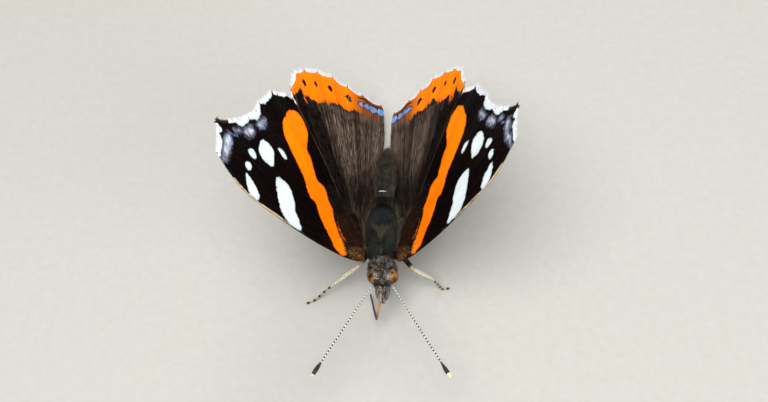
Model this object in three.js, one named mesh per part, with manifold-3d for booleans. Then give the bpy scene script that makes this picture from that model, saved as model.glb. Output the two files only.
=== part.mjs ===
// Red admiral butterfly, life size, standing with its wings raised in a wide V.
// Millimetres, +Z up. The insect faces -Y, and +X is its own left.
// Every place below is given from the forewing roots' level, and the last lines set the whole on the floor.
import * as THREE from 'three';
import { mergeVertices } from 'three/addons/utils/BufferGeometryUtils.js';
import Module from 'manifold-3d';

const wasm = await Module();
wasm.setup();

const gap = 0.3;                 // clear space kept between touching pieces
const rootsAboveFloor = 8.3;     // level of the forewing roots over the soles
const smallestEdge = 0.004;      // joined surfaces are simplified to this

// Facets of each kind of surface, along and round it, or round and down an ellipsoid
const facets = {
  thorax: [16, 20],
  abdomen: [32, 16],
  head: [20, 12],
  eye: [16, 10],
  knob: [14, 8],
  palp: [12, 10],
  foreleg: [12, 8],
  proboscis: [10, 8],
  foot: [20, 8],
  vein: 4,
  turned: 10,
  wingEdge: 14,
};

// Wings
const wingThickness = 0.5;
const veinHeight = 0.12;         // how far a vein stands out of each face
const veinTaper = 0.1;           // share of its thickness that a vein loses towards the margin
const wingRaise = 63.65;         // degrees up from level, each side
const wingSweep = 1.8;           // degrees: the left pair is set back by this, the right pair forward

const forewing = {
  name: 'forewing',
  color: '#1d1613',
  base: [2.4, -2.6, 0],
  // front edge from the root to the apex
  costa: [[-1.2, 0.5], [0.6, -0.7], [5, -2.0], [13.5, -3.3], [24.3, -3.9], [28.8, -2.9], [31.2, -1.9]],
  // vein ends round the outer margin, apex to hind corner
  margin: [[31.2, -1.9], [32.1, 2.1], [28.6, 4.15], [25.7, 6.8], [24.6, 9.0], [22.4, 12.0], [19.2, 13.8]],
  // hind edge from the corner back to the root
  dorsum: [[19.2, 13.8], [16.2, 13.3], [9.5, 9.1], [3.2, 4.6], [-1.2, 3.0]],
  bay: 0.12,                     // depth of the shallow bays between vein ends
  knob: { at: [0.2, 1.0, 0], radii: [0.95, 1.35, 0.55] },
  veins: {
    costa: {
      path: [[-0.6, 0.3], [1.2, -0.65], [5, -1.75], [13.5, -3.0], [24.3, -3.6], [28.6, -2.65]],
      width: 0.62,
    },
    subcosta: { path: [[-0.4, 0.7], [6, -0.95], [12, -2.2], [16.5, -3.1]], width: 0.5 },
    radius: { path: [[-0.4, 0.9], [6, 0.1], [11, -0.8], [14.6, -1.35]], width: 0.6 },
    radius1: { path: [[11, -0.8], [16, -2.3], [21, -3.4]], width: 0.4 },
    radius2: { path: [[13.6, -1.2], [18.5, -2.6], [23.8, -3.5]], width: 0.4 },
    radius3: { path: [[14.6, -1.35], [20.5, -1.95], [25.5, -2.5], [28.4, -2.6]], width: 0.42 },
    radius4: { path: [[22.0, -2.05], [27.2, -1.9], [31.1, -1.7]], width: 0.38 },
    radius5: { path: [[20.5, -1.95], [26.0, -0.9], [31.7, 0.2]], width: 0.38 },
    cellEnd: { path: [[14.6, -1.35], [15.0, 0.3], [14.2, 2.3]], width: 0.36 },
    media1: { path: [[14.9, -0.6], [22.0, 0.1], [31.9, 2.0]], width: 0.42 },
    media2: { path: [[15.0, 0.6], [21.0, 2.0], [28.4, 4.05]], width: 0.4 },
    media3: { path: [[14.2, 2.3], [19.5, 4.2], [25.5, 6.7]], width: 0.4 },
    cubitus: { path: [[-0.4, 1.4], [4.5, 2.5], [9.5, 3.0], [14.2, 2.3]], width: 0.6 },
    cubitus1: { path: [[11.6, 2.9], [17.0, 5.6], [24.4, 8.9]], width: 0.42 },
    cubitus2: { path: [[6.6, 2.8], [13.0, 6.6], [22.2, 11.85]], width: 0.42 },
    anal: { path: [[-0.4, 2.0], [4.5, 4.2], [11.0, 8.3], [18.9, 13.5]], width: 0.5 },
  },
};

const hindwing = {
  name: 'hindwing',
  color: '#33261f',
  base: [3.0, 1.2, -1.0],
  // runs forward under the forewing's hind edge
  costa: [[-0.4, 0.5], [3.0, -0.6], [9.0, 2.6], [14.0, 6.7], [17.0, 10.3], [18.1, 13.1], [17.9, 14.9]],
  margin: [[17.9, 14.9], [15.2, 17.2], [12.1, 19.0], [8.5, 20.45], [4.6, 21.3], [0.6, 22.4], [-5.2, 24.1]],
  dorsum: [[-5.2, 24.1], [-5.5, 21.0], [-5.6, 16.0], [-5.5, 11.0], [-4.6, 7.4], [-2.6, 5.2], [-0.5, 3.9]],
  bay: 0.2,
  knob: { at: [-0.3, 2.2, 0], radii: [0.8, 1.3, 0.4] },
  veins: {
    costa: { path: [[0.2, 1.6], [3.4, 0.7], [9.0, 3.9], [13.8, 8.0], [17.4, 13.8]], width: 0.5 },
    radius: { path: [[0.2, 2.0], [3.0, 4.6], [6.2, 7.6]], width: 0.55 },
    radial: { path: [[4.0, 5.5], [9.5, 10.2], [16.6, 15.8]], width: 0.42 },
    media1: { path: [[6.2, 7.6], [10.0, 12.2], [15.0, 17.0]], width: 0.4 },
    media2: { path: [[6.0, 9.4], [8.6, 13.6], [12.0, 18.8]], width: 0.4 },
    cellEnd: { path: [[6.2, 7.6], [6.0, 9.4], [4.2, 10.8]], width: 0.34 },
    media3: { path: [[4.2, 10.8], [6.2, 15.0], [8.4, 20.25]], width: 0.4 },
    cubitus: { path: [[0.1, 2.4], [1.8, 6.6], [4.2, 10.8]], width: 0.55 },
    cubitus1: { path: [[3.0, 9.2], [3.6, 14.8], [4.55, 21.1]], width: 0.42 },
    cubitus2: { path: [[1.5, 6.0], [0.6, 13.6], [0.6, 22.2]], width: 0.42 },
    anal1: { path: [[0.0, 2.8], [-1.9, 10.0], [-3.0, 17.0], [-4.6, 23.6]], width: 0.46 },
    anal2: { path: [[-0.4, 3.2], [-3.4, 8.4], [-4.9, 16.5]], width: 0.4 },
  },
};

// Trunk: sections from front to back, each with its middle, half width and half height
const thorax = {
  start: -2.95,
  end: 5.75,
  sections: [
    { y: -2.6, half: [1.3, 1.3], middle: -0.55 },
    { y: -1.5, half: [2.1, 2.1], middle: -0.8 },
    { y: 0.3, half: [2.5, 2.55], middle: -0.9 },
    { y: 2.4, half: [2.5, 2.6], middle: -0.95 },
    { y: 4.3, half: [1.95, 2.1], middle: -1.0 },
    { y: 5.4, half: [1.2, 1.3], middle: -1.1 },
  ],
};
const abdomen = {
  start: 5.6,
  end: 15.95,
  segments: 8,
  segmentStep: 0.05,             // how much each ring swells towards its hind edge
  sections: [
    { y: 6.1, half: [1.05, 1.1], middle: -1.15 },
    { y: 7.6, half: [1.45, 1.45], middle: -1.2 },
    { y: 10.0, half: [1.5, 1.5], middle: -1.4 },
    { y: 12.7, half: [1.3, 1.35], middle: -1.85 },
    { y: 14.7, half: [0.95, 1.0], middle: -2.3 },
    { y: 15.6, half: [0.6, 0.65], middle: -2.55 },
  ],
};
const head = { middle: [0.3, -4.5, -0.75], half: [1.55, 1.75, 1.5] };
const eye = { out: 1.05, forward: 0.2, radii: [1.0, 1.1, 1.15], seat: 0.85 };

// Palps and feelers are placed from the head's middle, at the height of the eyes
const palp = {
  root: [0.5, -1.15, -1.15],
  tip: [0.24, -3.75, -0.55],
  bow: [0.08, 0, -0.22],         // how far its middle stands off the straight line
  radius: 0.42,
  taper: 0.5,
  roundEnd: 0.1,
};
const antenna = {
  root: [0.63, -0.8, 0.55],
  tip: [8.4, -14.25, 0.25],
  lean: 0.36,                    // both tips stand this much to the insect's left
  // share of the length and radius: a thick first joint, the shaft and the club
  profile: [
    [0, 0], [0.005, 0.31], [0.09, 0.32], [0.11, 0.26], [0.4, 0.26], [0.83, 0.26],
    [0.88, 0.34], [0.92, 0.4], [0.97, 0.37], [0.99, 0.24], [1, 0],
  ],
};
const proboscis = {
  root: [0.25, -5.2, -2.5],
  elbow: [-0.57, -8.66, -5.0],
  tip: [-1.76, -3.5, -7.75],
  arch: [0, -0.35, 0.2],
  radius: 0.27,
  roundEnd: 0.08,
  // share of the length, share of the radius
  lowerProfile: [[0, 0], [0.02, 0.74], [0.06, 1], [0.8, 0.95], [0.97, 0.63], [1, 0]],
};

// Legs: hip, knee and ankle, then on the floor the place where the foot lands and the toe
const legs = {
  middle_left: {
    joints: [[1.35, 0.9, -3.0], [4.1, -3.0, -2.1], [6.5, -2.7, -5.2]],
    sole: [[7.7, -2.5], [8.6, -2.4]],
  },
  middle_right: {
    joints: [[-1.35, 0.9, -3.0], [-2.68, -2.1, -2.4], [-6.4, -3.35, -5.5]],
    sole: [[-9.2, -4.4], [-10.1, -4.8]],
  },
  hind_left: {
    joints: [[1.3, 3.0, -3.0], [4.9, 5.4, -2.7], [7.6, 8.8, -6.4]],
    sole: [[8.5, 11.6], [8.8, 12.7]],
  },
  hind_right: {
    joints: [[-1.3, 3.0, -3.0], [-4.9, 5.4, -2.7], [-7.6, 8.8, -6.4]],
    sole: [[-8.5, 11.6], [-8.8, 12.7]],
  },
};
const femur = {
  radius: 0.42,
  profile: [[0, 0], [0.03, 0.7], [0.25, 1], [0.6, 0.9], [0.93, 0.72], [0.98, 0.48], [1, 0]],
};
const tibia = {
  radius: 0.32,
  profile: [[0, 0], [0.03, 0.8], [0.12, 1], [0.5, 0.95], [0.9, 0.85], [0.97, 0.63], [1, 0]],
};
const foot = {
  radius: 0.27,
  height: 0.22,                  // its middle line over the floor
  joints: 5,
  jointDepth: 0.07,
  roundEnd: 0.06,
  landingBend: 0.6,              // share of the way down that it runs straight
};
const foreleg = {
  root: [0.75, -1.7, -2.3],
  bend: [1.0, -3.3, -3.2],
  tip: [0.75, -4.9, -3.0],
  radius: 0.34,
  taper: 0.25,
  roundEnd: 0.1,
};

const finish = {
  fur: { color: '#2b2c2a', roughness: 0.9 },
  abdomen: { color: '#2a2521', roughness: 0.85 },
  face: { color: '#55504a', roughness: 0.9 },
  eye: { color: '#6b3f22', roughness: 0.25 },
  feeler: { color: '#8b8a86', roughness: 0.6 },
  femur: { color: '#3a3029', roughness: 0.7 },
  shin: { color: '#c9b98f', roughness: 0.6 },
  foot: { color: '#8d7d5d', roughness: 0.6 },
  tongue: { color: '#6a4030', roughness: 0.45 },
};

// A point from its three numbers, or its copy
function vector(point) {
  if (point.isVector3) return point.clone();
  const [x, y, z = 0] = point;
  return new THREE.Vector3(x, y, z);
}

// A closed geometry becomes a solid for joining and cutting.
function toSolid(geometry) {
  const bare = geometry.clone();
  bare.deleteAttribute('normal');
  bare.deleteAttribute('uv');
  const merged = mergeVertices(bare, 1e-5);
  return new wasm.Manifold(new wasm.Mesh({
    numProp: 3,
    vertProperties: new Float32Array(merged.attributes.position.array),
    triVerts: new Uint32Array(merged.index.array),
  }));
}

// Only the largest closed surface of a solid is kept.
function toGeometry(solid) {
  const pieces = solid.simplify(smallestEdge).decompose();
  const largest = pieces.reduce((a, b) => (b.volume() > a.volume() ? b : a));
  const mesh = largest.getMesh();
  const geometry = new THREE.BufferGeometry();
  geometry.setAttribute('position', new THREE.BufferAttribute(new Float32Array(mesh.vertProperties), 3));
  geometry.setIndex(new THREE.BufferAttribute(new Uint32Array(mesh.triVerts), 1));
  geometry.computeVertexNormals();
  return geometry;
}

function makeMesh(name, geometry, look) {
  const mesh = new THREE.Mesh(geometry, new THREE.MeshStandardMaterial({ metalness: 0, ...look }));
  mesh.name = name;
  return mesh;
}

// Cuts tools, given in the trunk's frame, out of a mesh that may be turned and moved.
function cut(mesh, ...tools) {
  mesh.updateMatrix();
  const back = mesh.matrix.clone().invert().elements;
  const rest = tools.reduce((solid, tool) => solid.subtract(tool.transform(back)), toSolid(mesh.geometry));
  mesh.geometry = toGeometry(rest);
  return mesh;
}

// A closed surface: rings of points from a first pole to a last one, by pointAt(along 0..1, angle).
function closedSurface(rows, sides, pointAt) {
  const points = [pointAt(0, 0)];
  for (let row = 1; row < rows; row += 1) {
    for (let side = 0; side < sides; side += 1) {
      points.push(pointAt(row / rows, (side / sides) * 2 * Math.PI));
    }
  }
  points.push(pointAt(1, 0));
  const last = points.length - 1;
  const index = [];
  for (let side = 0; side < sides; side += 1) {
    const next = (side + 1) % sides;
    index.push(0, 1 + next, 1 + side);
    for (let row = 0; row < rows - 2; row += 1) {
      const a = 1 + row * sides;
      const b = a + sides;
      index.push(a + side, a + next, b + next, a + side, b + next, b + side);
    }
    const ring = 1 + (rows - 2) * sides;
    index.push(last, ring + side, ring + next);
  }
  const geometry = new THREE.BufferGeometry().setFromPoints(points);
  geometry.setIndex(index);
  geometry.computeVertexNormals();
  return geometry;
}

// A trunk piece: ellipses carried from front to back through the listed sections.
// extra widens it all over, and swell(along) scales each ring.
function trunk({ start, end, sections }, [rows, sides], extra = 0, swell = () => 1) {
  const places = sections.map((section) => section.y);
  const values = sections.flatMap((section) => [...section.half, section.middle]);
  const between = new THREE.CubicInterpolant(places, values, 3, new Float32Array(3));
  const [front, back] = [start - extra, end + extra];
  return closedSurface(rows, sides, (along, angle) => {
    const eased = 0.5 - 0.5 * Math.cos(Math.PI * along);
    const y = front + (back - front) * (0.5 * along + 0.5 * eased);
    const inside = THREE.MathUtils.clamp(y, places[0], places.at(-1));
    const [halfWidth, halfHeight, middle] = between.evaluate(inside);
    const past = y < inside ? (inside - y) / (inside - front) : (y - inside) / Math.max(back - inside, 1e-6);
    const round = Math.sqrt(Math.max(0, 1 - past * past));
    const size = along === 0 || along === 1 ? 0 : round * swell(along);
    return new THREE.Vector3(
      (halfWidth + extra) * size * Math.sin(angle),
      y,
      middle + (halfHeight + extra) * size * Math.cos(angle),
    );
  });
}

// A rod along a curve: radius(along) gives its half thickness, flatness its width against its height.
function rod(curve, [rows, sides], radius, flatness = 1) {
  const up = new THREE.Vector3(0, 0, 1);
  return closedSurface(rows, sides, (along, angle) => {
    const centre = curve.getPointAt(along);
    const forward = curve.getTangentAt(along);
    const across = forward.clone().cross(up).normalize();
    const over = across.clone().cross(forward);
    const size = along === 0 || along === 1 ? 0 : radius(along);
    return centre
      .addScaledVector(across, size * flatness * Math.sin(angle))
      .addScaledVector(over, size * Math.cos(angle));
  });
}

// 1 along the middle of a rod, rounding off to 0 over the given share at each end
const blunt = (along, end) => {
  const fromEnd = Math.min(along, 1 - along) / end;
  return fromEnd >= 1 ? 1 : Math.sqrt(1 - (1 - fromEnd) ** 2);
};

function ellipsoid(middle, radii, [round, down]) {
  const geometry = new THREE.SphereGeometry(1, round, down);
  geometry.scale(...radii);
  geometry.translate(...middle);
  return geometry;
}

const widened = (radii) => radii.map((radius) => radius + gap);

const smoothCurve = (points) => new THREE.CatmullRomCurve3(points.map(vector), false, 'centripetal');

// Wing outline: smooth front and hind edges, and a tooth at each vein end with a shallow bay between.
function wingOutline({ costa, margin, dorsum, bay }) {
  const outline = smoothCurve(costa).getPoints(facets.wingEdge);
  for (let i = 1; i < margin.length; i += 1) {
    const [from, to] = [vector(margin[i - 1]), vector(margin[i])];
    const inward = to.clone().sub(from).cross(new THREE.Vector3(0, 0, -1)).normalize();
    for (const share of [0.25, 0.5, 0.75, 1]) {
      outline.push(from.clone().lerp(to, share).addScaledVector(inward, bay * Math.sin(Math.PI * share)));
    }
  }
  outline.push(...smoothCurve(dorsum).getPoints(facets.wingEdge).slice(1));
  return outline.map(({ x, y }) => new THREE.Vector2(x, y));
}

// A vein is a low ridge on both faces: a flat rod that runs inside the membrane.
function veinSolid({ path, width }) {
  const half = wingThickness / 2 + veinHeight;
  const radius = (along) => half * (1 - veinTaper * along);
  return toSolid(rod(smoothCurve(path), [2 * path.length, facets.vein], radius, width / half));
}

function makeWing(wing, sideName, side, trunkSpace) {
  const membrane = new THREE.ExtrudeGeometry(new THREE.Shape(wingOutline(wing)), {
    depth: wingThickness,
    bevelEnabled: false,
  });
  membrane.translate(0, 0, -wingThickness / 2);
  const knob = toSolid(ellipsoid(wing.knob.at, wing.knob.radii, facets.knob));
  const veins = Object.values(wing.veins).map(veinSolid);
  const solid = veins.reduce((whole, vein) => whole.add(vein), toSolid(membrane).add(knob));
  const look = { color: wing.color, roughness: 0.9 };
  const mesh = makeMesh(`${wing.name}_${sideName}`, toGeometry(solid), look);

  const raise = THREE.MathUtils.degToRad(wingRaise);
  const sweep = THREE.MathUtils.degToRad(wingSweep) * side;
  const out = new THREE.Vector3(side * Math.cos(raise), 0, Math.sin(raise));
  const back = new THREE.Vector3(0, 1, 0);
  const alongSpan = out.clone().multiplyScalar(Math.cos(sweep)).addScaledVector(back, Math.sin(sweep));
  const alongChord = back.clone().multiplyScalar(Math.cos(sweep)).addScaledVector(out, -Math.sin(sweep));
  const face = alongSpan.clone().cross(alongChord);
  mesh.quaternion.setFromRotationMatrix(new THREE.Matrix4().makeBasis(alongSpan, alongChord, face));
  const [x, y, z] = wing.base;
  mesh.position.set(side * x, y, z);
  return cut(mesh, trunkSpace);
}

// A straight turned piece from one point to another; its profile lists [share of length, share of radius].
function turnedPiece(name, from, to, { profile, radius = 1 }, look) {
  const length = from.distanceTo(to);
  const outline = profile.map(([along, out]) => new THREE.Vector2(out * radius, along * length));
  const mesh = makeMesh(name, new THREE.LatheGeometry(outline, facets.turned), look);
  mesh.quaternion.setFromUnitVectors(new THREE.Vector3(0, 1, 0), to.clone().sub(from).normalize());
  mesh.position.copy(from);
  return mesh;
}

function shortened(from, to, atStart, atEnd) {
  const along = to.clone().sub(from).normalize();
  return [from.clone().addScaledVector(along, atStart), to.clone().addScaledVector(along, -atEnd)];
}

function makeLeg(name, { joints, sole }, trunkSpace) {
  const floor = -rootsAboveFloor;
  const [hip, knee, ankle] = joints.map(vector);
  const [landing, toe] = sole.map(([x, y]) => new THREE.Vector3(x, y, floor + foot.height));
  const [shinFrom, shinTo] = shortened(knee, ankle, gap, 0);
  const [footFrom] = shortened(ankle, landing, gap, 0);
  const upper = turnedPiece(`leg_${name}_femur`, hip, knee, femur, finish.femur);
  const lower = turnedPiece(`leg_${name}_tibia`, shinFrom, shinTo, tibia, finish.shin);

  // the foot comes down, bends and lies on a flat sole
  const curve = smoothCurve([footFrom, footFrom.clone().lerp(landing, foot.landingBend), landing, toe]);
  const joint = (along) => 1 - foot.jointDepth * Math.cos(2 * Math.PI * foot.joints * along);
  const shape = rod(curve, facets.foot, (along) => foot.radius * blunt(along, foot.roundEnd) * joint(along));
  const position = shape.attributes.position;
  for (let i = 0; i < position.count; i += 1) position.setZ(i, Math.max(position.getZ(i), floor));
  return [cut(upper, trunkSpace), lower, makeMesh(`leg_${name}_tarsus`, shape, finish.foot)];
}

function makeTrunk() {
  const ringSwell = (along) => {
    const share = (along * abdomen.segments) % 1;
    return 1 + abdomen.segmentStep * (share - 0.5);
  };
  const thoraxSpace = toSolid(trunk(thorax, facets.thorax, gap));
  const abdomenShape = trunk(abdomen, facets.abdomen, 0, ringSwell);
  return {
    thoraxSpace,
    thoraxMesh: makeMesh('thorax', trunk(thorax, facets.thorax), finish.fur),
    abdomenMesh: cut(makeMesh('abdomen', abdomenShape, finish.abdomen), thoraxSpace),
  };
}

// The head, with an eye seated in a flat-bottomed socket on each side
function makeHead(thoraxSpace) {
  const headSpace = toSolid(ellipsoid(head.middle, widened(head.half), facets.head));
  const blockSize = 4 * Math.max(...eye.radii);
  const sockets = [];
  const eyes = [['left', 1], ['right', -1]].map(([sideName, side]) => {
    const middle = [head.middle[0] + side * eye.out, head.middle[1] - eye.forward, head.middle[2]];
    const outside = (from) => {
      const block = new THREE.BoxGeometry(blockSize, blockSize, blockSize);
      block.translate(head.middle[0] + side * (from + blockSize / 2), middle[1], middle[2]);
      return toSolid(block);
    };
    const socket = toSolid(ellipsoid(middle, widened(eye.radii), facets.eye));
    sockets.push(socket.intersect(outside(eye.seat - gap)));
    const ball = toSolid(ellipsoid(middle, eye.radii, facets.eye)).intersect(outside(eye.seat));
    return makeMesh(`eye_${sideName}`, toGeometry(ball), finish.eye);
  });
  const skull = makeMesh('head', ellipsoid(head.middle, head.half, facets.head), finish.face);
  return { headSpace, headMeshes: [cut(skull, thoraxSpace, ...sockets), ...eyes] };
}

// A place given for the left side goes to the asked side, and fromHead takes it from the head's middle.
const mirrored = ([x, y, z], side) => new THREE.Vector3(side * x, y, z);
const fromHead = (place, side) => vector(head.middle).add(mirrored(place, side));

// A palp, or with extra the space it needs
function palpShape(side, extra = 0) {
  const [root, tip] = [fromHead(palp.root, side), fromHead(palp.tip, side)];
  const bend = root.clone().lerp(tip, 0.5).add(mirrored(palp.bow, side));
  const thickness = (share) => palp.radius * (1 - palp.taper * share ** 2) + extra;
  const radius = (share) => thickness(share) * blunt(share, palp.roundEnd);
  return rod(smoothCurve([root, bend, tip]), facets.palp, radius);
}

function makePalp(sideName, side, headSpace) {
  return cut(makeMesh(`palp_${sideName}`, palpShape(side), finish.face), headSpace);
}

function makeAntenna(sideName, side, headSpace) {
  const root = fromHead(antenna.root, side);
  const tip = fromHead(antenna.tip, side).add(new THREE.Vector3(antenna.lean, 0, 0));
  return cut(turnedPiece(`antenna_${sideName}`, root, tip, antenna, finish.feeler), headSpace);
}

function makeProboscis(headSpace) {
  const [root, elbow, tip] = [proboscis.root, proboscis.elbow, proboscis.tip].map(vector);
  const middle = root.clone().lerp(elbow, 0.5).add(vector(proboscis.arch));
  const radius = (along) => proboscis.radius * blunt(along, proboscis.roundEnd);
  const upper = rod(smoothCurve([root, middle, elbow]), facets.proboscis, radius);
  const [lowerFrom, lowerTo] = shortened(elbow, tip, 2 * gap, 0);
  const lowerShape = { profile: proboscis.lowerProfile, radius: proboscis.radius };
  const lower = turnedPiece('proboscis_lower', lowerFrom, lowerTo, lowerShape, finish.tongue);
  const palps = [1, -1].map((side) => toSolid(palpShape(side, gap)));
  return [cut(makeMesh('proboscis_upper', upper, finish.tongue), headSpace, ...palps), lower];
}

function makeForeleg(sideName, side, thoraxSpace, headSpace) {
  const points = [foreleg.root, foreleg.bend, foreleg.tip].map((place) => mirrored(place, side));
  const radius = (along) => foreleg.radius * blunt(along, foreleg.roundEnd) * (1 - foreleg.taper * along);
  const shape = rod(smoothCurve(points), facets.foreleg, radius);
  return cut(makeMesh(`foreleg_${sideName}`, shape, finish.fur), thoraxSpace, headSpace);
}

const model = new THREE.Group();
const { thoraxSpace, thoraxMesh, abdomenMesh } = makeTrunk();
const { headSpace, headMeshes } = makeHead(thoraxSpace);
model.add(thoraxMesh, abdomenMesh, ...headMeshes);

for (const [sideName, side] of [['left', 1], ['right', -1]]) {
  model.add(makeWing(forewing, sideName, side, thoraxSpace));
  model.add(makeWing(hindwing, sideName, side, thoraxSpace));
  model.add(makeAntenna(sideName, side, headSpace));
  model.add(makePalp(sideName, side, headSpace));
  model.add(makeForeleg(sideName, side, thoraxSpace, headSpace));
}
model.add(...makeProboscis(headSpace));
for (const [name, points] of Object.entries(legs)) model.add(...makeLeg(name, points, thoraxSpace));

// Stood on the floor, with the middle of the whole over the origin
model.updateMatrixWorld(true);
const bounds = new THREE.Box3().setFromObject(model, true);
const centre = bounds.getCenter(new THREE.Vector3());
model.position.set(-centre.x, -centre.y, -bounds.min.z);

export default model;
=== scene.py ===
# Red admiral butterfly: the finished looks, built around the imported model.
# Shapes are worked out in millimetres from the forewing roots, head toward -y, then moved to the frame.
import math

import bpy
import numpy as np
from mathutils import Matrix, Vector


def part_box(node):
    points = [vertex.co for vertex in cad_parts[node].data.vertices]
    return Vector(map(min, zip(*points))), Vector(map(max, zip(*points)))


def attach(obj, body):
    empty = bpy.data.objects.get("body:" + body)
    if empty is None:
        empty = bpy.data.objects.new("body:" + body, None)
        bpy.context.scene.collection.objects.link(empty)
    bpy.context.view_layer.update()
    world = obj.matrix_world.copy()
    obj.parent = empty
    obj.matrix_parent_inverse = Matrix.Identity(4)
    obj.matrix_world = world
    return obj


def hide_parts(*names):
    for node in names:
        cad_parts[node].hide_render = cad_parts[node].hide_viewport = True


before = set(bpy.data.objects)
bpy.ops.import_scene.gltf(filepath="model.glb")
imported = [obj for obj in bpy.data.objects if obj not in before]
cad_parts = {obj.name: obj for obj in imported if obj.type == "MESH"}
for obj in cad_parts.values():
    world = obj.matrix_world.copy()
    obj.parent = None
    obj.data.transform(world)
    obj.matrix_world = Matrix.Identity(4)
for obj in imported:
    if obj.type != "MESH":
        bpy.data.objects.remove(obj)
print("frame loaded")
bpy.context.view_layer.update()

scene = bpy.context.scene
scene.view_settings.view_transform = "Standard"
random = np.random.default_rng(7)

millimetre = 0.001
bodyPlace = {
    "thoraxFront": -2.95,        # where the thorax begins, in the insect's own millimetres
    "rootsAboveFloor": 8.3,
}
thoraxLow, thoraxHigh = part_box("thorax")
rootsAcross = (thoraxLow.x + thoraxHigh.x) / 2
rootsAlong = thoraxLow.y - bodyPlace["thoraxFront"] * millimetre
bodyOrigin = np.array([rootsAcross, rootsAlong, bodyPlace["rootsAboveFloor"] * millimetre])
sides = {"left": 1, "right": -1}     # the insect's own left is +x
sharpEdge = math.radians(40)         # edges that turn more than this are shaded as creases


# Numbers and curves

def toFrame(points):
    # the insect's millimetres to the frame's metres
    return np.asarray(points, float) * millimetre + bodyOrigin


def unit(vectors):
    length = np.linalg.norm(vectors, axis=-1, keepdims=True)
    return vectors / np.maximum(length, 1e-9)


def mirrored(place, side):
    return np.array(place) * (side, 1, 1)


def smoothStep(value, low, high):
    share = np.clip((value - low) / (high - low), 0, 1)
    return share * share * (3 - 2 * share)


def curveThrough(points, count, closed=False):
    # a Catmull-Rom curve through the points, read at evenly spaced lengths
    points = np.asarray(points, float)
    if closed:
        ends = np.vstack([points[-1:], points, points[:2]])
    else:
        ends = np.vstack([2 * points[0] - points[1], points, 2 * points[-1] - points[-2]])
    pieces = len(ends) - 3
    place = np.linspace(0, pieces, 40 * pieces + 1)
    first = np.minimum(place.astype(int), pieces - 1)
    t = (place - first)[:, None]
    a, b, c, d = (ends[first + k] for k in range(4))
    fine = 0.5 * (2 * b + (c - a) * t + (2 * a - 5 * b + 4 * c - d) * t**2 + (3 * b - a - 3 * c + d) * t**3)
    along = lengthAlong(fine)
    wanted = np.linspace(0, along[-1], count + 1)[:-1] if closed else np.linspace(0, along[-1], count)
    return columnsAt(wanted, along, fine)


def profileAt(stations, place):
    # every column of the stations at the given places of the first one, on a smooth curve
    stations = np.asarray(stations, float)
    fine = curveThrough(stations, 40 * len(stations))
    return [np.interp(place, fine[:, 0], fine[:, k]) for k in range(1, fine.shape[1])]


def columnsAt(place, known, columns):
    # every column of the known rows, read between them
    return np.stack([np.interp(place, known, columns[:, k]) for k in range(columns.shape[1])], axis=1)


def lengthAlong(line):
    # how far each point lies along the line
    return np.concatenate([[0], np.cumsum(np.linalg.norm(np.diff(line, axis=0), axis=1))])


def ovalAngles(count):
    return np.linspace(0, 2 * math.pi, count, endpoint=False)


def insideMap(share):
    # keeps a little clear of the bake map's edges
    return share * 0.98 + 0.01


farAway = 4.5                    # distances to a shape are measured up to this one


def distanceToLine(places, line):
    # shortest distance from each place to an open line of straight pieces
    start = line[:-1]
    edge = line[1:] - start
    offset = places[:, None] - start[None]
    share = np.clip((offset * edge).sum(2) / np.maximum((edge**2).sum(1), 1e-9), 0, 1)
    return np.linalg.norm(offset - share[..., None] * edge, axis=2).min(1)


def distanceToShape(places, outline):
    # distance to a closed outline, below nought inside it
    outline = curveThrough(outline, 6 * len(outline), closed=True)
    following = np.roll(outline, -1, axis=0)
    low, high = outline.min(0) - farAway, outline.max(0) + farAway
    near = ((places > low) & (places < high)).all(1)
    everywhere = np.full(len(places), farAway)
    places = places[near]
    distance = distanceToLine(places, np.vstack([outline, outline[:1]]))
    x, y = places[:, :1], places[:, 1:]
    spans = (outline[:, 1] > y) != (following[:, 1] > y)
    rise = following[:, 1] - outline[:, 1]
    rise = np.where(np.abs(rise) < 1e-9, 1e-9, rise)
    crossing = outline[:, 0] + (following[:, 0] - outline[:, 0]) * (y - outline[:, 1]) / rise
    inside = (spans & (x < crossing)).sum(1) % 2 == 1
    everywhere[near] = np.where(inside, -distance, distance)
    return everywhere


def distanceToShapes(places, outlines):
    return np.min([distanceToShape(places, outline) for outline in outlines], axis=0)


def distanceToStroke(places, points, half, count=20):
    # distance to the curve through the points, less half its width
    return distanceToLine(places, curveThrough(points, count)) - half


def distanceToSpots(places, spots):
    # each spot is its middle, half length, half width and the degrees that it is turned
    distances = []
    for u, v, longHalf, shortHalf, turn in spots:
        angle = math.radians(turn)
        x, y = (places - (u, v)).T
        along = x * math.cos(angle) + y * math.sin(angle)
        across = y * math.cos(angle) - x * math.sin(angle)
        distances.append((np.hypot(along / longHalf, across / shortHalf) - 1) * shortHalf)
    return np.min(distances, axis=0)


# Meshes

def gridQuads(index):
    # quads of a grid of point numbers
    return np.stack([index[:-1, :-1], index[1:, :-1], index[1:, 1:], index[:-1, 1:]], axis=-1).reshape(-1, 4)


def closedRings(rings):
    # rings of points joined along a path, each end drawn to one point; the points and their faces
    count, around = rings.shape[:2]
    index = np.arange(count * around).reshape(count, around)
    wrapped = np.concatenate([index, index[:, :1]], axis=1)
    poles = np.array([rings[0].mean(0), rings[-1].mean(0)])
    first = np.full(around, count * around)
    starts = np.stack([first, wrapped[0, :-1], wrapped[0, 1:]], axis=1)
    ends = np.stack([first + 1, wrapped[-1, 1:], wrapped[-1, :-1]], axis=1)
    return np.vstack([rings.reshape(-1, 3), poles]), [gridQuads(wrapped)[:, ::-1], starts, ends]


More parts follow.
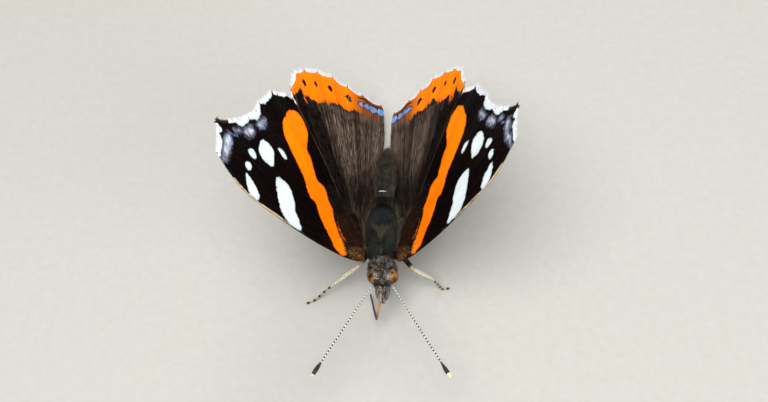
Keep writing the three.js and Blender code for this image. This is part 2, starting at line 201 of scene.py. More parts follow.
def closedSheet(upper, lower):
    # two grids of one shape, back to back and joined round the rim
    rows, columns = upper.shape[:2]
    index = np.arange(rows * columns).reshape(rows, columns)
    rim = np.concatenate([index[0, :-1], index[:-1, -1], index[-1, :0:-1], index[:0:-1, 0]])
    following = np.roll(rim, -1)
    under = rows * columns
    edge = np.stack([rim, following, following + under, rim + under], axis=1)
    faces = [gridQuads(index), gridQuads(index)[:, ::-1] + under, edge]
    return np.vstack([upper.reshape(-1, 3), lower.reshape(-1, 3)]), faces


def joined(parts):
    # several shapes as one, the point numbers of each moved on past those before it
    points = []
    faces = []
    start = 0
    for partPoints, partFaces in parts:
        points.append(partPoints)
        faces += [face + start for face in partFaces]
        start += len(partPoints)
    return np.vstack(points), faces


def turnedOutward(points, faces):
    # the volume under all faces tells which way they point
    volume = 0
    for face in faces:
        a, b = points[face[:, 0]], points[face[:, 1]]
        for k in range(2, face.shape[1]):
            volume += np.einsum("ij,ij->", np.cross(a, b), points[face[:, k]])
            b = points[face[:, k]]
    return faces if volume > 0 else [face[:, ::-1] for face in faces]


def makePiece(
    name, shape, material, standsFor=(), fields=None, vectors=None, bakePlaces=None,
    turn=True, sharp=False,
):
    # shape is points and lists of faces; fields, vectors and bake places have a row for each point
    points, faces = shape
    if turn:
        faces = turnedOutward(points, faces)
    corners = np.concatenate([face.ravel() for face in faces]).astype(np.int32)
    sizes = np.concatenate([np.full(len(face), face.shape[1]) for face in faces])
    starts = np.concatenate([[0], np.cumsum(sizes)[:-1]]).astype(np.int32)
    mesh = bpy.data.meshes.new(name)
    mesh.vertices.add(len(points))
    mesh.vertices.foreach_set("co", toFrame(points).ravel())
    mesh.loops.add(len(corners))
    mesh.loops.foreach_set("vertex_index", corners)
    mesh.polygons.add(len(sizes))
    mesh.polygons.foreach_set("loop_start", starts)
    mesh.polygons.foreach_set("use_smooth", np.ones(len(sizes), bool))
    mesh.update(calc_edges=True)
    for label, amount in (fields or {}).items():
        layer = mesh.attributes.new(label, "FLOAT", "POINT")
        layer.data.foreach_set("value", np.asarray(amount, np.float32))
    for label, vector in (vectors or {}).items():
        layer = mesh.attributes.new(label, "FLOAT_VECTOR", "POINT")
        layer.data.foreach_set("vector", np.asarray(vector, np.float32).ravel())
    if bakePlaces is not None:
        layer = mesh.uv_layers.new(name="OFBake")
        layer.data.foreach_set("uv", np.asarray(bakePlaces, np.float32)[corners].ravel())
    if sharp:
        mesh.set_sharp_from_angle(angle=sharpEdge)
    mesh.materials.append(material)
    piece = bpy.data.objects.new(name, mesh)
    scene.collection.objects.link(piece)
    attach(piece, "root")
    if standsFor:
        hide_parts(*standsFor)
    return piece


def sweptRings(path, width, height=None, around=16, up=(0, 0, 1)):
    # an oval carried along a path, each ring square to it
    path = np.asarray(path, float)
    along = unit(np.gradient(path, axis=0))
    side = unit(np.cross(along, np.asarray(up, float)))
    over = np.cross(side, along)
    height = width if height is None else height
    angle = ovalAngles(around)
    across = side[:, None] * (np.cos(angle)[None, :, None] * np.asarray(width)[:, None, None])
    lifted = over[:, None] * (np.sin(angle)[None, :, None] * np.asarray(height)[:, None, None])
    return path[:, None] + across + lifted


def ringValues(along, around):
    # one value for each ring of a swept shape, and for the points that close its ends
    return np.concatenate([np.repeat(along, around), [along[0], along[-1]]])


bladeCorners = np.array([[-0.5, 0.0], [0.5, 0.0], [0.0, 1.0]])
bakePatch = 0.003                # how wide a tuft's patch is on the bake map


def makeTufts(roots, along, outward, mapPlaces, look):
    # each tuft is a three-sided blade on a bent line: root + length (t along + lift (t - curl t t) outward)
    count = len(roots)
    length = look["length"] * (1 + look["vary"] * random.uniform(-1, 1, count)) * look.get("stretch", 1)
    spread = random.normal(0, look["spread"], count)[:, None]
    along = unit(along + unit(np.cross(along, outward)) * spread)
    across = unit(np.cross(along, outward))
    lift = look["lift"] * (1 + 0.5 * random.uniform(-1, 1, count))
    rings = look["rings"]
    t = np.arange(rings) / rings
    wide = look["width"] * np.sqrt(1 - t) * (0.75 + 0.5 * np.sin(math.pi * t))
    shares = np.append(t, 1.0)
    rise = lift[:, None] * (shares - look["curl"] * shares**2)
    bent = along[:, None] * shares[None, :, None] + outward[:, None] * rise[..., None]
    middle = roots[:, None] + length[:, None, None] * bent
    level = across[:, None, None] * (bladeCorners[:, 0] * wide[:, None])[None, :, :, None]
    above = outward[:, None, None] * (bladeCorners[:, 1] * look["thick"] * wide[:, None])[None, :, :, None]
    rows = middle[:, :-1, None] + (level + above)
    points = np.concatenate([rows.reshape(count, -1, 3), middle[:, -1:]], axis=1).reshape(-1, 3)
    each = rings * 3 + 1
    ring = np.arange(rings * 3).reshape(rings, 3)
    wrapped = np.concatenate([ring, ring[:, :1]], axis=1)
    tips = np.stack([np.full(3, rings * 3), wrapped[-1, :-1], wrapped[-1, 1:]], axis=1)
    start = (np.arange(count) * each)[:, None, None]
    oneTuft = [gridQuads(wrapped), tips, np.array([[0, 1, 2]])]
    corners = np.stack([np.tile(bladeCorners[:, 0], rings), np.repeat(t, 3)], axis=1)
    patch = np.vstack([corners, [[0.0, 1.0]]]) * bakePatch
    return {
        "shape": (points, [(part + start).reshape(-1, part.shape[1]) for part in oneTuft]),
        "each": each,            # points of one tuft
        "bakePlaces": (mapPlaces[:, None] + patch[None]).reshape(-1, 2),
        "fields": {
            "tuftShade": np.repeat(random.uniform(0, 1, count), each),
            "tuftLength": np.tile(np.append(np.repeat(t, 3), 1.0), count),
        },
    }


def makeTuftPiece(name, tufts, material, fields, grain=None, sharp=False):
    # fields and grain have a row for each tuft
    repeated = {label: np.repeat(amount, tufts["each"]) for label, amount in fields.items()}
    vectors = {} if grain is None else {"grain": np.repeat(grain, tufts["each"], axis=0)}
    return makePiece(
        name, tufts["shape"], material, fields={**tufts["fields"], **repeated}, vectors=vectors,
        bakePlaces=tufts["bakePlaces"], turn=False, sharp=sharp,
    )


def limbMap(place, angle):
    # the bake map of hair round a limb
    return insideMap(np.stack([place, angle / (2 * math.pi)], axis=1))


def outwardRound(along, angle):
    # square to the path at each place, turned round it by the angle
    across = unit(np.cross(along, (0.0, 0.0, 1.0)))
    return across * np.cos(angle)[:, None] + np.cross(across, along) * np.sin(angle)[:, None]


# Node trees

def paint(code):
    # a hex colour as the linear one that nodes take
    parts = [int(code[k : k + 2], 16) / 255 for k in (1, 3, 5)]
    return [part / 12.92 if part <= 0.04045 else ((part + 0.055) / 1.055) ** 2.4 for part in parts] + [1.0]


def fill(tree, socket, given):
    # links what another node puts out, or sets a hex colour or a plain value
    if isinstance(given, bpy.types.NodeSocket):
        tree.links.new(given, socket)
    else:
        socket.default_value = paint(given) if isinstance(given, str) else given


def put(tree, kind, inputs=None, **settings):
    # adds a node, sets its fields, then fills its inputs by name or number
    node = tree.nodes.new("ShaderNode" + kind)
    for label, setting in settings.items():
        setattr(node, label, setting)
    for key, given in (inputs or {}).items():
        fill(tree, node.inputs[key], given)
    return node


def field(tree, name):
    return put(tree, "Attribute", attribute_name=name).outputs["Fac"]


def direction(tree, name):
    return put(tree, "Attribute", attribute_name=name).outputs["Vector"]


def sums(tree, operation, first, second=0.0, third=0.0):
    return put(tree, "Math", {0: first, 1: second, 2: third}, operation=operation).outputs[0]


def times(tree, first, second):
    return sums(tree, "MULTIPLY", first, second)


def step(tree, value, low, high, toLow=0.0, toHigh=1.0):
    inputs = {"Value": value, "From Min": low, "From Max": high, "To Min": toLow, "To Max": toHigh}
    return put(tree, "MapRange", inputs, interpolation_type="SMOOTHSTEP").outputs["Result"]


def blend(tree, share, first, second):
    inputs = {"Factor": share, 6: first, 7: second}
    return put(tree, "Mix", inputs, data_type="RGBA").outputs[2]


def layered(tree, colour, *layers):
    # each layer is how far its colour hides what lies under it, and the colour
    for share, over in layers:
        colour = blend(tree, share, colour, over)
    return colour


def noise(tree, place, scale, detail=3.0, roughness=0.55):
    inputs = {"Vector": place, "Scale": scale, "Detail": detail, "Roughness": roughness}
    return put(tree, "TexNoise", inputs).outputs["Fac"]


def stretched(tree, place, scale, location=(0, 0, 0)):
    inputs = {"Vector": place, "Scale": scale, "Location": location}
    return put(tree, "Mapping", inputs).outputs["Vector"]


def objectPlace(tree):
    return put(tree, "TexCoord").outputs["Object"]


velvet = {"Roughness": 0.75, "Specular_IOR_Level": 0.02}


def newMaterial(name, look, **finish):
    # look(tree) gives the colour, perhaps the roughness and a bump: height, strength, millimetres, inverted
    material = bpy.data.materials.new(name)
    material.use_nodes = True
    tree = material.node_tree
    tree.nodes.clear()
    shader = put(tree, "BsdfPrincipled")
    put(tree, "OutputMaterial", {"Surface": shader.outputs["BSDF"]})
    for key, given in {**velvet, **finish}.items():
        shader.inputs[key.replace("_", " ")].default_value = given
    made = look(tree)
    fill(tree, shader.inputs["Base Color"], made["colour"])
    if "roughness" in made:
        fill(tree, shader.inputs["Roughness"], made["roughness"])
    if "bump" in made:
        height, strength, depth, inverted = made["bump"]
        inputs = {"Height": height, "Strength": strength, "Distance": depth * millimetre}
        fill(tree, shader.inputs["Normal"], put(tree, "Bump", inputs, invert=inverted).outputs["Normal"])
    return material


def newGroup(name, inputs, outputs):
    # a shared effect with named sockets; a vector is always linked, so it has no value of its own
    group = bpy.data.node_groups.new(name, "ShaderNodeTree")
    for label, given in inputs.items():
        kind = "NodeSocketVector" if given is None else "NodeSocketFloat"
        socket = group.interface.new_socket(name=label, in_out="INPUT", socket_type=kind)
        if given is not None:
            socket.default_value = given
    for label in outputs:
        group.interface.new_socket(name=label, in_out="OUTPUT", socket_type="NodeSocketFloat")
    return group, group.nodes.new("NodeGroupInput").outputs, group.nodes.new("NodeGroupOutput").inputs


def makeRaggedMark():
    # a marking's edge, frayed by scales that point away from the wing root
    inputs = {"Distance": 0.0, "Fan": None, "Fray": 0.25, "Blur": 0.05}
    group, given, result = newGroup("raggedMark", inputs, ["Mask"])
    waves = noise(group, stretched(group, given["Fan"], (3.4, 0.55, 1.0)), 1.0, 2.0)
    teeth = noise(group, stretched(group, given["Fan"], (9.0, 2.2, 1.0)), 1.0, 1.0)
    teeth = times(group, sums(group, "SUBTRACT", teeth, 0.5), 0.9)
    both = sums(group, "ADD", sums(group, "SUBTRACT", waves, 0.5), teeth)
    edge = sums(group, "MULTIPLY_ADD", both, given["Fray"], given["Distance"])
    low = times(group, given["Blur"], -1.0)
    fill(group, result["Mask"], step(group, edge, low, given["Blur"], 1.0, 0.0))
    return group


def makeScaleRows():
    # overlapping wing scales: a shade for each scale, and the height of its rounded end
    group, given, result = newGroup("scaleRows", {"Fan": None, "Rows": 7.0}, ["Shade", "Height"])
    place = stretched(group, given["Fan"], (1.0, 0.62, 1.0))
    cells = put(group, "TexVoronoi", {"Vector": place, "Scale": given["Rows"], "Randomness": 0.75}).outputs
    fill(group, result["Shade"], put(group, "SeparateColor", {"Color": cells["Color"]}).outputs["Red"])
    fill(group, result["Height"], sums(group, "SUBTRACT", 1.0, cells["Distance"]))
    return group


def makeHairStreaks():
    # long fine streaks from the wing root outward, coarse ones under fine ones
    group, given, result = newGroup("hairStreaks", {"Fan": None, "Fineness": 3.0}, ["Streak"])
    coarse = stretched(group, given["Fan"], (1.0, 0.07, 1.0))
    fine = stretched(group, given["Fan"], (2.6, 0.16, 1.0), (3.1, 0.0, 5.7))
    low = noise(group, coarse, given["Fineness"], 3.0, 0.6)
    high = noise(group, fine, given["Fineness"], 2.0, 0.5)
    fill(group, result["Streak"], sums(group, "MULTIPLY_ADD", high, 0.5, times(group, low, 0.5)))
    return group


raggedMark = makeRaggedMark()
scaleRows = makeScaleRows()
hairStreaks = makeHairStreaks()


def useGroup(tree, group, **inputs):
    return put(tree, "Group", inputs, node_tree=group).outputs


def mark(tree, name, fan, fray=0.25, blur=0.05, grow=0.0):
    # the mask of a marking whose distance is stored on the wing
    distance = sums(tree, "SUBTRACT", field(tree, name), grow)
    return useGroup(tree, raggedMark, Distance=distance, Fan=fan, Fray=fray, Blur=blur)["Mask"]


# Wings

wingPose = {"raise": 63.65, "sweep": 1.8}    # degrees up from level, and of the pair's skew
fanOrigin = (-2.0, -1.0)         # veins, scales and streaks spread from here
fanWidth = 16                    # makes a step of angle about a millimetre

forewing = {
    "base": (2.4, -2.6, 0.0),
    "costa": [(-1.2, 0.5), (0.6, -0.7), (5, -2.0), (13.5, -3.3), (24.3, -3.9), (28.8, -2.9), (31.2, -1.9)],
    "margin": [
        (31.2, -1.9), (32.1, 2.1), (28.6, 4.15), (25.7, 6.8), (24.6, 9.0), (22.4, 12.0), (19.2, 13.8),
    ],
    "dorsum": [(19.2, 13.8), (16.2, 13.3), (9.5, 9.1), (3.2, 4.6), (-1.2, 3.0)],
    "bay": 0.12,
    "droop": {"edge": "dorsum", "height": -0.12, "reach": 2.4},
    "veins": {
        "costa": [(-0.6, 0.3), (1.2, -0.65), (5, -1.75), (13.5, -3.0), (24.3, -3.6), (28.6, -2.65)],
        "subcosta": [(-0.4, 0.7), (6, -0.95), (12, -2.2), (16.5, -3.1)],
        "radius": [(-0.4, 0.9), (6, 0.1), (11, -0.8), (14.6, -1.35)],
        "radius1": [(11, -0.8), (16, -2.3), (21, -3.4)],
        "radius2": [(13.6, -1.2), (18.5, -2.6), (23.8, -3.5)],
        "radius3": [(14.6, -1.35), (20.5, -1.95), (25.5, -2.5), (28.4, -2.6)],
        "radius4": [(22.0, -2.05), (27.2, -1.9), (31.1, -1.7)],
        "radius5": [(20.5, -1.95), (26.0, -0.9), (31.7, 0.2)],
        "cellEnd": [(14.6, -1.35), (15.0, 0.3), (14.2, 2.3)],
        "media1": [(14.9, -0.6), (22.0, 0.1), (31.9, 2.0)],
        "media2": [(15.0, 0.6), (21.0, 2.0), (28.4, 4.05)],
        "media3": [(14.2, 2.3), (19.5, 4.2), (25.5, 6.7)],
        "cubitus": [(-0.4, 1.4), (4.5, 2.5), (9.5, 3.0), (14.2, 2.3)],
        "cubitus1": [(11.6, 2.9), (17.0, 5.6), (24.4, 8.9)],
        "cubitus2": [(6.6, 2.8), (13.0, 6.6), (22.2, 11.85)],
        "anal": [(-0.4, 2.0), (4.5, 4.2), (11.0, 8.3), (18.9, 13.5)],
    },
}

hindwing = {
    "base": (3.0, 1.2, -1.0),
    "costa": [(-0.4, 0.5), (3.0, -0.6), (9.0, 2.6), (14.0, 6.7), (17.0, 10.3), (18.15, 12.3)],
    "margin": [
        (18.15, 12.3), (18.0, 14.9), (15.2, 17.2), (12.1, 19.0), (8.5, 20.45), (4.6, 21.3), (0.6, 22.4),
        (-4.5, 23.85),
    ],
    "dorsum": [
        (-4.5, 23.85), (-5.3, 22.7), (-5.5, 20.0), (-5.6, 16.0), (-5.5, 11.0), (-4.6, 7.4), (-2.6, 5.2),
        (-0.5, 3.9),
    ],
    "bay": 0.2,
    "droop": {"edge": "costa", "height": 0.2, "reach": 2.6},
    "veins": {
        "costa": [(0.2, 1.6), (3.4, 0.7), (9.0, 3.9), (13.8, 8.0), (17.2, 12.4)],
        "radius": [(0.2, 2.0), (3.0, 4.6), (6.2, 7.6)],
        "radial": [(4.0, 5.5), (9.5, 10.2), (16.6, 15.8)],
        "media1": [(6.2, 7.6), (10.0, 12.2), (15.0, 17.0)],
        "media2": [(6.0, 9.4), (8.6, 13.6), (12.0, 18.8)],
        "cellEnd": [(6.2, 7.6), (6.0, 9.4), (4.2, 10.8)],
        "media3": [(4.2, 10.8), (6.2, 15.0), (8.4, 20.25)],
        "cubitus": [(0.1, 2.4), (1.8, 6.6), (4.2, 10.8)],
        "cubitus1": [(3.0, 9.2), (3.6, 14.8), (4.55, 21.1)],
        "cubitus2": [(1.5, 6.0), (0.6, 13.6), (0.6, 22.2)],
        "anal1": [(0.0, 2.8), (-1.9, 10.0), (-3.0, 17.0), (-4.6, 23.6)],
        "anal2": [(-0.4, 3.2), (-3.4, 8.4), (-4.9, 16.5)],
    },
}

wingSheet = {
    "rows": 230,
    "columns": 104,
    "halfThickness": 0.05,
    "veinRise": 0.045,
    "veinWidth": 0.17,
    "pleat": 0.07,               # how far the membrane waves between veins
    "rootSwell": 0.26,           # how much thicker the wing is at its root
    "fringe": 0.42,              # the scales of the rim reach this far past the membrane
}


def marginLine(wing, inset=0.0, count=900):
    # from the apex to the hind corner, each bay between vein ends drawn in like an arc
    ends = np.array(wing["margin"], float)
    share = np.linspace(0, 1, 41)[:-1, None]
    bays = []
    for start, end in zip(ends[:-1], ends[1:]):
        chord = unit(end - start)
        inward = np.array([-chord[1], chord[0]])
        bays.append(start + (end - start) * share + inward * wing["bay"] * np.sin(math.pi * share))
    line = np.vstack(bays + [ends[-1:]])
    steps = np.pad(np.gradient(line, axis=0), ((6, 6), (0, 0)), mode="edge")
    along = unit(np.stack([np.convolve(steps[:, k], np.ones(13), mode="valid") for k in (0, 1)], axis=1))
    line = line + np.stack([-along[:, 1], along[:, 0]], axis=1) * inset
    reached = lengthAlong(line)
    return columnsAt(np.linspace(0, reached[-1], count), reached, line)


def wingGrid(wing):
    # Coons patch: blend of front and hind edges, plus blend of root and margin, less the four corners
    rows, columns = wingSheet["rows"], wingSheet["columns"]
    outer = marginLine(wing, wingSheet["fringe"], columns)
    front = curveThrough(wing["costa"], rows)
    hind = curveThrough(wing["dorsum"][::-1], rows)
    toTip = np.linspace(0, 1, rows)[:, None] ** 8
    front += (outer[0] - front[-1]) * toTip
    hind += (outer[-1] - hind[-1]) * toTip
    inner = front[0] + (hind[0] - front[0]) * np.linspace(0, 1, columns)[:, None]
    s = np.linspace(0, 1, rows)[:, None, None]
    t = np.linspace(0, 1, columns)[None, :, None]
    edges = (1 - t) * front[:, None] + t * hind[:, None] + (1 - s) * inner[None] + s * outer[None]
    corners = (1 - s) * ((1 - t) * front[0] + t * hind[0]) + s * ((1 - t) * front[-1] + t * hind[-1])
    return edges - corners


def fanOf(places, side=1):
    # across and along the fan; the third keeps the two sides' noise apart
    x, y = (places - np.array(fanOrigin)).T
    return np.stack([np.arctan2(y, x) * fanWidth, np.hypot(x, y), np.full(len(places), side * 4.7)], axis=1)


def veinDistance(wing, places):
    lines = [curveThrough(vein, 14) for vein in wing["veins"].values()]
    return np.min([distanceToLine(places, line) for line in lines], axis=0)


def wingHeight(wing, places):
    # waves across the fan that fade toward the root, and the overlapping edges bent toward each other
    fan = fanOf(places)
    waves = wingSheet["pleat"] * np.sin(fan[:, 0] * 1.9) * smoothStep(fan[:, 1], 3, 22)
    droop = wing["droop"]
    toEdge = distanceToLine(places, curveThrough(wing[droop["edge"]], 40))
    return waves + droop["height"] * np.exp(-((toEdge / droop["reach"]) ** 2)) * smoothStep(fan[:, 1], 3, 8)


def wingAxes(side):
    # along the wing's span, and off its upper face
    rise = math.radians(wingPose["raise"])
    spanAxis = np.array([side * math.cos(rise), 0, math.sin(rise)])
    upperAxis = np.array([-side * math.sin(rise), 0, math.cos(rise)])
    return spanAxis, upperAxis


def raised(side, flat):
    # the flat wing turned by its sweep, then its span laid along the raised one
    sweep = math.radians(wingPose["sweep"]) * side
    span = flat[:, 0] * math.cos(sweep) - flat[:, 1] * math.sin(sweep)
    back = flat[:, 0] * math.sin(sweep) + flat[:, 1] * math.cos(sweep)
    return span[:, None] * wingAxes(side)[0] + back[:, None] * (0, 1, 0)


def placeOnWing(wing, side, places, height):
    # base + place on the raised wing + height off the upper face
    over = np.asarray(height)[:, None] * wingAxes(side)[1]
    return mirrored(wing["base"], side) + raised(side, places) + over


def turnOnWing(side, directions):
    return unit(raised(side, directions))


def onWingMap(flat):
    # the bake map of hair or scales on a wing
    return insideMap((flat - flat.min(0)) / np.ptp(flat, axis=0).max())


# Markings, in millimetres on the flat wing: along the wing from its root, then toward the tail

forewingMarks = {
    "band": [
        (16.9, 12.4), (18.2, 11.6), (18.9, 10.4), (19.4, 9.1), (18.9, 7.9), (18.2, 7.15), (17.1, 6.5),
        (15.5, 5.3), (14.2, 4.3), (13.4, 3.1), (12.6, 2.3), (11.4, 2.2), (10.6, 1.4), (9.1, 0.0),
        (7.6, -0.9), (6.5, -1.7), (4.9, -1.9), (3.9, -1.4), (3.6, -0.6), (4.4, 0.0), (5.1, 0.2),
        (5.9, 0.9), (6.9, 2.1), (7.4, 3.2), (8.5, 4.0), (9.2, 5.2), (10.3, 5.4), (11.4, 5.4), (12.1, 6.4),
        (12.8, 7.8), (13.7, 8.5), (13.7, 9.8), (13.8, 10.9), (14.7, 11.8), (15.6, 12.3),
    ],
    "sideLine": [(6.1, 2.3), (5.7, 1.5), (4.9, 0.75), (3.9, 0.4)],
    "slit": [(5.7, 1.2), (5.3, 0.45), (4.6, 0.05), (4.3, 0.3), (5.0, 0.8)],
    "bar": [
        (19.6, 1.3), (18.2, 1.6), (16.9, 1.3), (16.0, 0.1), (15.5, -1.1), (14.6, -1.9), (14.0, -2.8),
        (15.0, -3.3), (17.0, -3.3), (18.2, -2.6), (19.1, -1.2), (19.9, 0.2),
    ],
    "spots": [
        [(20.0, 5.1), (19.6, 4.7), (18.9, 4.4), (18.15, 4.45), (18.1, 4.95), (18.7, 5.35), (19.5, 5.35)],
        [
            (23.2, 4.35), (23.55, 3.0), (23.1, 2.3), (21.9, 1.95), (20.6, 2.15), (20.4, 3.1), (20.8, 4.2),
            (21.9, 4.6),
        ],
        [(25.7, 1.45), (25.2, 2.0), (24.5, 2.25), (24.0, 1.75), (24.2, 1.15), (25.2, 1.0)],
        [(26.0, -0.35), (25.7, 0.05), (25.0, 0.05), (24.7, -0.3), (24.9, -0.75), (25.6, -0.8)],
        [(25.5, -1.45), (24.4, -1.7), (23.3, -2.2), (22.6, -3.1), (23.3, -3.7), (24.5, -3.6), (25.2, -2.7)],
    ],
    "rim": [
        [(31.3, 3.05), (30.2, 3.8), (28.8, 4.2), (28.7, 3.6), (30.0, 3.0), (30.8, 2.75)],
        [(28.9, 4.3), (27.9, 5.0), (26.7, 6.0), (26.1, 5.7), (26.2, 4.9), (27.1, 4.0), (28.1, 3.8)],
        [
            (26.6, 6.0), (25.6, 7.6), (25.1, 8.6), (24.3, 8.8), (23.8, 7.9), (24.1, 7.0), (24.8, 6.2),
            (25.9, 5.6),
        ],
        [(24.7, 9.5), (23.5, 11.3), (22.5, 12.0), (22.1, 11.3), (22.9, 9.8), (23.8, 9.2)],
        [(22.3, 12.3), (20.8, 13.4), (18.9, 14.3), (18.7, 13.4), (20.2, 12.55), (21.9, 11.95)],
        [(32.3, 1.35), (31.1, 1.5), (30.6, 1.25), (30.9, 0.8), (32.3, 0.55)],
        [(32.4, 0.3), (30.8, 0.35), (30.4, -0.7), (30.5, -2.1), (31.4, -2.3), (32.2, -0.8)],
    ],
    "lavender": [
        [(26.6, 3.5), (25.7, 3.3), (24.9, 3.9), (24.5, 4.7), (25.0, 5.05), (25.8, 4.75)],
        [(24.5, 5.6), (23.7, 5.7), (22.6, 7.0), (22.6, 7.6), (23.4, 7.3), (24.3, 6.1)],
        [(28.5, 2.7), (27.6, 3.4), (27.2, 3.2), (27.9, 2.6)],
        [(30.2, 1.0), (29.3, 1.7), (28.8, 1.0), (28.8, -0.5), (29.2, -1.7), (29.9, -2.3), (30.1, -1.0)],
    ],
    "blueDots": [(23.2, 6.05, 0.4, 0.16, -35), (28.2, 2.05, 0.4, 0.13, -20), (28.75, 0.65, 0.35, 0.16, -50)],
    "creamEdge": [(12.0, -3.1), (17.0, -3.5), (21.0, -3.75), (24.3, -3.9), (27.6, -3.3)],
}

hindwingMarks = {
    "band": [
        (18.9, 11.9), (17.2, 12.0), (16.3, 12.4), (15.9, 13.3), (15.4, 13.5), (15.0, 13.15), (14.3, 12.9),
        (13.7, 13.4), (13.0, 13.1), (12.0, 13.75), (11.0, 14.4), (10.2, 14.8), (9.0, 15.6), (8.2, 16.1),
        (6.9, 16.6), (5.9, 16.7), (4.8, 17.1), (3.9, 17.4), (2.8, 17.9), (1.6, 18.4), (0.0, 19.0),
        (-1.4, 19.7), (-3.4, 20.9), (-5.5, 23.5), (-5.0, 26.0), (5.0, 23.5), (12.0, 20.5), (19.0, 16.5),
    ],
    "streakLine": [(12.6, 12.2), (13.6, 12.5), (14.5, 12.65)],
    "dots": [(14.65, 15.05, 0.52, 0.38, 25), (12.2, 16.4, 0.44, 0.31, 35), (8.7, 17.9, 0.5, 0.38, 20),
             (4.05, 19.25, 0.68, 0.42, 5)],
    "whitePatch": [(18.6, 12.2), (17.6, 12.6), (17.0, 13.9), (17.1, 15.4), (19.0, 15.0)],
    "whiteStreak": [(18.2, 12.4), (17.3, 11.2), (16.2, 10.7)],
    "dotTails": [[(14.65, 15.05), (15.4, 14.75)], [(8.7, 17.9), (9.4, 17.75)], [(4.05, 19.25), (5.4, 18.9)],
                 [(12.2, 16.4), (12.6, 16.2)]],
    "blue": [(0.75, 20.3, 0.6, 0.32, -20), (-0.7, 20.8, 1.0, 0.42, -22), (-2.5, 21.45, 1.2, 0.46, -22),
             (-4.5, 22.2, 1.25, 0.46, -24)],
    "blueCentre": [(4.0, 19.25, 0.2, 0.09, 5)],
    "anal": [(2.6, 18.2), (1.2, 20.0), (1.6, 23.5), (-7.0, 26.0), (-7.0, 20.0), (-1.0, 18.4)],
}

undersideMarks = {
    "ring": [(13.7, 0.6, 1.25, 0.7, 70)],
    "cellBars": [[(6.4, -0.2), (6.8, 2.4)], [(9.4, -0.6), (9.8, 2.7)]],
    "apexPatch": [(19.8, -4.2), (25.0, -1.6), (26.2, 1.5), (25.4, 4.6), (23.0, 8.5), (24.0, 14.0),
                  (34.0, 8.0), (34.0, -4.0)],
    "eyes": [(25.2, 2.1, 0.5, 0.42, 0), (25.9, 0.1, 0.42, 0.36, 0), (24.6, 4.3, 0.46, 0.4, 0)],
    "hindPatch": [(8.8, 5.2), (11.6, 8.0), (11.2, 10.2), (9.4, 10.0), (7.8, 7.0)],
    "hindEyes": [(14.2, 13.6, 0.75, 0.6, 30), (11.4, 15.2, 0.8, 0.65, 35), (8.0, 16.8, 0.85, 0.7, 15),
                 (4.2, 17.9, 0.85, 0.7, 5), (0.4, 18.9, 0.8, 0.65, -10)],
    "hindLine": [(16.2, 9.4), (12.6, 11.6), (10.4, 12.2), (8.2, 14.0), (5.4, 13.6), (3.0, 15.2), (0.2, 15.0),
                 (-2.6, 16.6), (-5.4, 16.2)],
}


def forewingFields(places, upper):
    # a distance for each marking, below nought inside it; the underside's own take the upper ones' names
    marks = forewingMarks
    creamHalf = 0.2 * smoothStep(places[:, 0], 11.0, 20.0) - 0.06
    fields = {
        "band": distanceToShape(places, marks["band"]),
        "white": distanceToShapes(places, [marks["bar"]] + marks["spots"] + marks["rim"]),
        "lavender": distanceToShapes(places, marks["lavender"] if upper else [undersideMarks["apexPatch"]]),
        "blue": distanceToSpots(places, marks["blueDots"]),
        "front": distanceToStroke(places, marks["creamEdge"], creamHalf, 40),
        "hind": distanceToStroke(places, forewing["dorsum"], 0.14, 60),
        "extra": distanceToSpots(places, undersideMarks["eyes"]),
    }
    if upper:
        withLine = np.minimum(fields["band"], distanceToStroke(places, marks["sideLine"], 0.15))
        fields["band"] = np.maximum(withLine, -distanceToShape(places, marks["slit"]))
    else:
        bars = [distanceToStroke(places, bar, 0.3, 12) for bar in undersideMarks["cellBars"]]
        ring = np.abs(distanceToSpots(places, undersideMarks["ring"])) - 0.2
        fields["blue"] = np.minimum(ring, np.min(bars, axis=0))
    return fields


def hindwingFields(places, upper):
    marks = hindwingMarks
    rim = distanceToLine(places, marginLine(hindwing, 0.0, 300))
    streak = distanceToStroke(places, marks["whiteStreak"], 0.14)
    patch = np.minimum(distanceToShape(places, marks["whitePatch"]), streak)
    fields = {"rim": rim, "white": np.minimum(rim - wingSheet["fringe"] - 0.08, patch)}
    if upper:
        line = distanceToStroke(places, marks["streakLine"], 0.1, 12)
        tails = [distanceToLine(places, np.array(tail)) - 0.05 for tail in marks["dotTails"]]
        fields["band"] = np.minimum(distanceToShape(places, marks["band"]), line)
        fields["extra"] = np.minimum(distanceToSpots(places, marks["dots"]), np.min(tails, axis=0))
        fields["blue"] = distanceToSpots(places, marks["blue"] + marks["blueCentre"])
        fields["lavender"] = distanceToShape(places, marks["anal"])
    else:
        fields["band"] = distanceToShape(places, undersideMarks["hindPatch"])
        fields["extra"] = distanceToSpots(places, undersideMarks["hindEyes"])
        fields["blue"] = np.abs(rim - 2.1) - 0.32
        fields["lavender"] = distanceToStroke(places, undersideMarks["hindLine"], 0.25, 60)
    return fields


def flatWing(wing, fieldsOf):
    # what both wings of a pair share: the flat grid, its thickness and its markings
    grid = wingGrid(wing)
    flat = grid.reshape(-1, 2)
    vein = veinDistance(wing, flat)
    ridge = wingSheet["veinRise"] * np.exp(-((vein / wingSheet["veinWidth"]) ** 2))
    root = wingSheet["rootSwell"] * np.exp(-(((flat - (0.2, 1.4)) ** 2).sum(1) / 2.2))
    toRim = distanceToLine(flat, marginLine(wing, wingSheet["fringe"], 300))
    half = (wingSheet["halfThickness"] + ridge + root) * smoothStep(toRim, -0.2, 0.25)
    above, below = fieldsOf(flat, True), fieldsOf(flat, False)
    values = {key: np.concatenate([above[key], below[key]]) for key in above}
    values["vein"] = np.tile(vein, 2)
    values["face"] = np.repeat([1.0, 0.0], len(flat))
    upperPlaces = onWingMap(flat) * (0.5, 1.0)
    places = np.vstack([upperPlaces, upperPlaces + (0.5, 0.0)])
    return {"shape": grid.shape[:2] + (3,), "flat": flat, "half": half, "values": values, "places": places}


